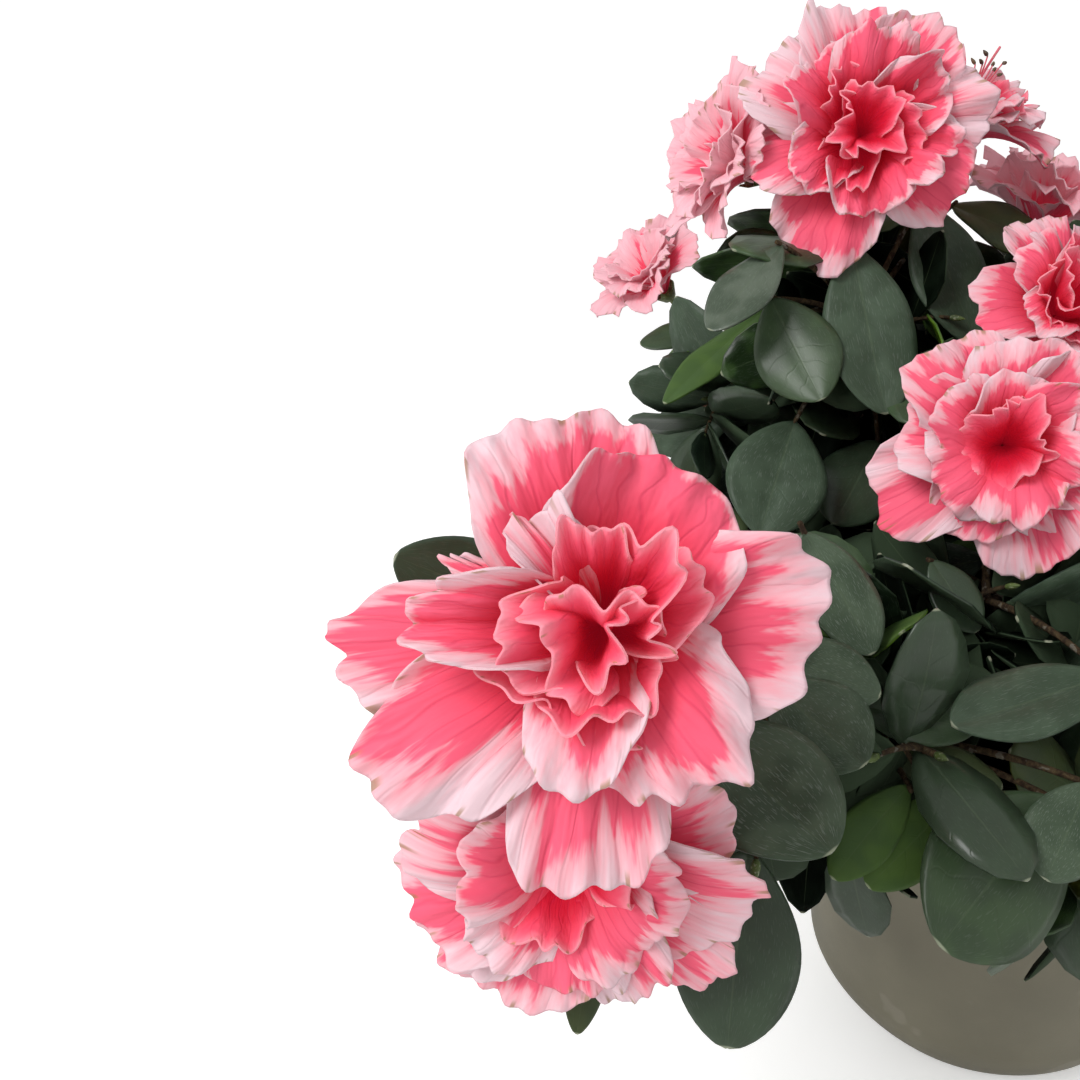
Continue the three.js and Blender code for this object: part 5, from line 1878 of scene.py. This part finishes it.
def flower_petals(flower, chance):
    """The petals of a flower: chosen one by one, or whorls that turn on by half a step."""
    if flower.habit in CHOSEN_PETALS:
        return CHOSEN_PETALS[flower.habit]
    petals = []
    turn = 360 * chance.random()
    for count, out, ahead, spread, taper, arch, cup, ruffle, wrap, pink in HABITS[flower.habit]:
        turn += 180 / count
        for i in range(count):
            clock = turn + 360 * i / count + 14 * (chance.random() - 0.5)
            tip = out * (1 - 0.14 * chance.random()), ahead + 0.05 * (chance.random() - 0.5)
            half = spread * (0.88 + 0.22 * chance.random())
            cupped = cup + 0.1 * (chance.random() - 0.5)
            ruffled = ruffle * (0.7 + 0.6 * chance.random())
            run = pink * (0.8 + 0.4 * chance.random())
            petals.append((clock, *tip, half, taper, arch, cupped, ruffled, wrap, run))
    return petals


def add_flower(parts, flower, order, rows, columns):
    """Adds all the petals of a flower as thin closed shells."""
    chance = np.random.default_rng(900 + order)
    side, lift = cross_directions(flower.facing)
    right, above = HEARTS.get(flower.habit, (0, 0))
    heart = flower.centre - right * side + above * lift
    petals = flower_petals(flower, chance)
    grids = [petal_grid(flower, heart, petal, rows, columns, chance) for petal in petals]
    along, across = np.meshgrid(petal_rows(rows), np.linspace(-1, 1, columns), indexing="ij")
    seeds = 0.5 + 40 * chance.random(len(grids))
    pink = np.array([petal[-1] for petal in petals])[:, None, None]
    place = np.stack(np.broadcast_arrays(across, along**pink, seeds[:, None, None]), axis=-1)
    slots = [2 if flower.habit == "pale" else int(petal[1] < INNER_REACH) for petal in petals]
    add_shells(parts, np.array(grids), 0.3, place, np.array(slots))


# The trusses of each piece, and the rows and columns of a petal's grid
PETAL_GROUPS = {
    "petals_nearest": (["front_left"], 20, 65),
    "petals_front": (["top_left", "front"], 18, 31),
    "petals_right": (["front_right", "right", "low_right", "top_back"], 13, 23),
    "petals_back": (["back_left", "back_right", "back", "left"], 13, 23),
}


class AZALEA_OT_flowers(bpy.types.Operator):
    """Opens the double flowers, petal by petal"""

    bl_idname = "azalea.flowers"
    bl_label = "Flowers"

    def execute(self, context):
        props = context.scene.azalea_flowers
        plant = whole_plant()
        margin, blush, pink = props.petal_margin, props.petal_blush, props.petal_pink
        pale = tuple(0.5 * (one + other) for one, other in zip(margin, blush))
        materials = [
            # The last value of each is how strongly its petals give off painted light, most in the heart.
            petal_material("azalea_petal", props, 0.865, 0.62, 0.95, 0.30, margin, blush, 0.42, 0.03),
            petal_material("azalea_heart", props, 0.80, 0.20, 0.20, 0.10, blush, pink, 1.1, 0.14),
            petal_material("azalea_pale", props, 0.66, 0.60, 0.60, 0.15, pale, blush, 0.25, 0.08),
        ]
        order = 0
        for name, (members, rows, columns) in PETAL_GROUPS.items():
            parts = MeshParts()
            for truss in plant.trusses:
                if truss.name in members:
                    for flower in truss.flowers:
                        order += 1
                        add_flower(parts, flower, order, rows, columns)
            piece = put_mesh(name, parts, materials, "petal_place")
            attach(piece, "root")
            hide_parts(*[f"bloom_{member}" for member in members])
        return {"FINISHED"}


# Rings of the calyx, in millimetres: how far ahead and out, and whether the ring runs out to points
CALYX_PROFILE = [
    (0.0, 1.2, 0),
    (0.8, 2.4, 0),
    (2.4, 3.2, 0),
    (5.0, 4.6, 1),
    (4.6, 3.9, 1),
    (2.2, 2.6, 0),
]


def add_calyx(parts, flower, tint):
    """The flower's green foot: a cup of revolution that flares out to five pointed lobes."""
    side, lift = cross_directions(flower.facing)
    angle = 2 * np.pi * np.arange(20) / 20
    ring = np.cos(angle)[:, None] * side + np.sin(angle)[:, None] * lift
    foot = flower.centre - 0.345 * flower.width * flower.facing
    rows = []
    for ahead, out, pointed in CALYX_PROFILE:
        point = pointed * 2.4 * np.maximum(0, np.cos(5 * angle[:, None])) ** 1.5
        rows.append(foot + (ahead + point) * flower.facing + (out + 0.25 * point) * ring)
    add_rings(parts, np.array(rows), [foot, foot + 2.0 * flower.facing], tint)


def add_stamens(parts, flower, chance):
    """Thin filaments that rise from the tube's foot and spread, each with a small brown anther."""
    _, lift = cross_directions(flower.facing)
    root = flower.centre - 0.25 * flower.width * flower.facing
    for i in range(7):
        outward = way_out(flower.facing, i * GOLDEN_ANGLE + chance.random())
        reach = (0.36 + 0.12 * chance.random()) * flower.width
        tip = root + reach * flower.facing + (0.05 + 0.07 * chance.random()) * flower.width * outward
        line = Curve(root, root + 0.6 * reach * flower.facing, tip)
        add_tube(parts, line, (0.35, 0.22), 9, 5, tint=1)
        add_bud(parts, tip, unit(outward + 0.4 * flower.facing), 2.2, 1.1, 2)
    tip = root + 0.52 * flower.width * flower.facing + 2 * lift
    add_tube(parts, Curve(root, 0.5 * (root + tip) + lift, tip), (0.4, 0.35), 9, 6, tint=1)


class AZALEA_OT_stalks(bpy.types.Operator):
    """Adds the flower stalks, the calyces and the stamens of the open flowers"""

    bl_idname = "azalea.stalks"
    bl_label = "Stalks and stamens"

    def execute(self, context):
        plant = whole_plant()
        parts = MeshParts()
        chance = np.random.default_rng(55)
        for flower in plant.flowers:
            add_tube(parts, flower.stalk, (1.0, 1.15), 14, 8, tint=0)
            add_calyx(parts, flower, 0)
            if flower.habit in ("open", "ruffled"):
                add_stamens(parts, flower, chance)
        materials = [
            plain_green_material("stalk_green", (0.16, 0.20, 0.05), (0.08, 0.10, 0.03)),
            plain_green_material("filament", (0.75, 0.16, 0.22), (0.60, 0.08, 0.12)),
            plain_green_material("anther", (0.12, 0.07, 0.03), (0.05, 0.03, 0.015)),
        ]
        piece = put_mesh("stalks_and_stamens", parts, materials)
        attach(piece, "root")
        return {"FINISHED"}


# The stage


FLOOR_GAP = 0.3  # the floor lies this far below the pot, in millimetres
SEEN_GLOW = 0.35  # how much brighter the floor shows than it lights


def floor_material(props):
    """A pale matt floor, that shows a little brighter than it lights."""
    material, tree, shader = new_material("floor_paper", 0.9)
    for socket in ("Base Color", "Emission Color"):
        shader.inputs[socket].default_value = (*props.floor_colour, 1)
    seen = tree.nodes.new("ShaderNodeLightPath").outputs["Is Camera Ray"]
    tree.links.new(times(tree, seen, SEEN_GLOW), shader.inputs["Emission Strength"])
    material.cycles.emission_sampling = "NONE"
    return material


def add_light(name, at, target, power, size):
    """A square soft light at a place in metres, turned to its target."""
    light = bpy.data.lights.new(name, "AREA")
    light.energy = power
    light.size = size
    lamp = bpy.data.objects.new(name, light)
    at, target = np.array(at, float), np.array(target, float)
    away = unit(at - target)
    lamp.location = at
    lamp.rotation_euler = (math.acos(away[2]), 0, math.atan2(away[0], -away[1]))
    bpy.context.scene.collection.objects.link(lamp)
    return lamp


class AZALEA_OT_stage(bpy.types.Operator):
    """Lays the floor, hangs the lights and sets the camera"""

    bl_idname = "azalea.stage"
    bl_label = "Stage"

    def execute(self, context):
        props = context.scene.azalea_stage
        scene = context.scene
        parts = MeshParts()
        flat = [(radius, -FLOOR_GAP) for radius in (50, 300, 800, 1300)]
        curve = rounded((1300, 700 - FLOOR_GAP), 700, -90, 0, 17)[1:]
        profile = np.concatenate([flat, curve, [(2000, 2200)]])
        near = np.arange(96)
        grid = turned_grid(profile, 2 * np.pi * near / 96)
        corners = np.concatenate([grid.reshape(-1, 3), [(0, 0, -FLOOR_GAP)]])
        fan = np.column_stack([near, (near + 1) % 96, np.full(96, grid.size // 3)])
        parts.add(corners, grid_quads(len(profile), 96, wrap=True)[:, ::-1], fan)
        floor = put_mesh("floor", parts, [floor_material(props)])

        world = bpy.data.worlds.new("pale_sky")
        world.use_nodes = True
        sky = world.node_tree.nodes["Background"].inputs
        sky["Color"].default_value = (1, 1, 1, 1)
        sky["Strength"].default_value = props.sky
        scene.world = world
        scene.view_settings.view_transform = "Standard"
        add_light("key_light", (-0.95, -0.75, 1.15), (-0.05, -0.03, 0.17), props.key, 0.6)

        camera = bpy.data.cameras.new("camera")
        camera.lens = FOCAL_PIXELS / CAMERA_PIXELS * SENSOR_WIDTH
        camera.sensor_width = SENSOR_WIDTH
        camera.clip_start = 0.01
        view = bpy.data.objects.new("camera", camera)
        view.location = CAMERA_AT * MM
        view.rotation_euler = (math.pi / 2 - CAMERA_PITCH, 0, 0)
        scene.collection.objects.link(view)
        scene.camera = view
        return {"FINISHED"}


class AZALEA_PT_panel(bpy.types.Panel):
    """The azalea's pieces, in the order in which they are made"""

    bl_idname = "AZALEA_PT_panel"
    bl_label = "Potted azalea"
    bl_space_type = "VIEW_3D"
    bl_region_type = "UI"
    bl_category = "Azalea"

    def draw(self, context):
        for operator in OPERATORS:
            self.layout.operator(operator.bl_idname)


OPERATORS = [
    AZALEA_OT_stage,
    AZALEA_OT_pot,
    AZALEA_OT_potting_mix,
    AZALEA_OT_trunk,
    AZALEA_OT_boughs,
    AZALEA_OT_twigs,
    AZALEA_OT_leaves,
    AZALEA_OT_flowers,
    AZALEA_OT_stalks,
]
PROPERTIES = {
    "azalea_pot": PotProperties,
    "azalea_plant": PlantProperties,
    "azalea_flowers": FlowerProperties,
    "azalea_stage": StageProperties,
}


def register():
    """Registers the properties, the operators and the panel."""
    for name, group in PROPERTIES.items():
        bpy.utils.register_class(group)
        setattr(bpy.types.Scene, name, PointerProperty(type=group))
    for operator in OPERATORS:
        bpy.utils.register_class(operator)
    bpy.utils.register_class(AZALEA_PT_panel)


def unregister():
    """Takes them all out again, in the opposite order."""
    bpy.utils.unregister_class(AZALEA_PT_panel)
    for operator in reversed(OPERATORS):
        bpy.utils.unregister_class(operator)
    for name, group in reversed(PROPERTIES.items()):
        delattr(bpy.types.Scene, name)
        bpy.utils.unregister_class(group)


def main():
    """Makes every piece in order."""
    register()
    for operator in OPERATORS:
        getattr(bpy.ops.azalea, operator.bl_idname.split(".")[1])()


if __name__ == "__main__":
    main()
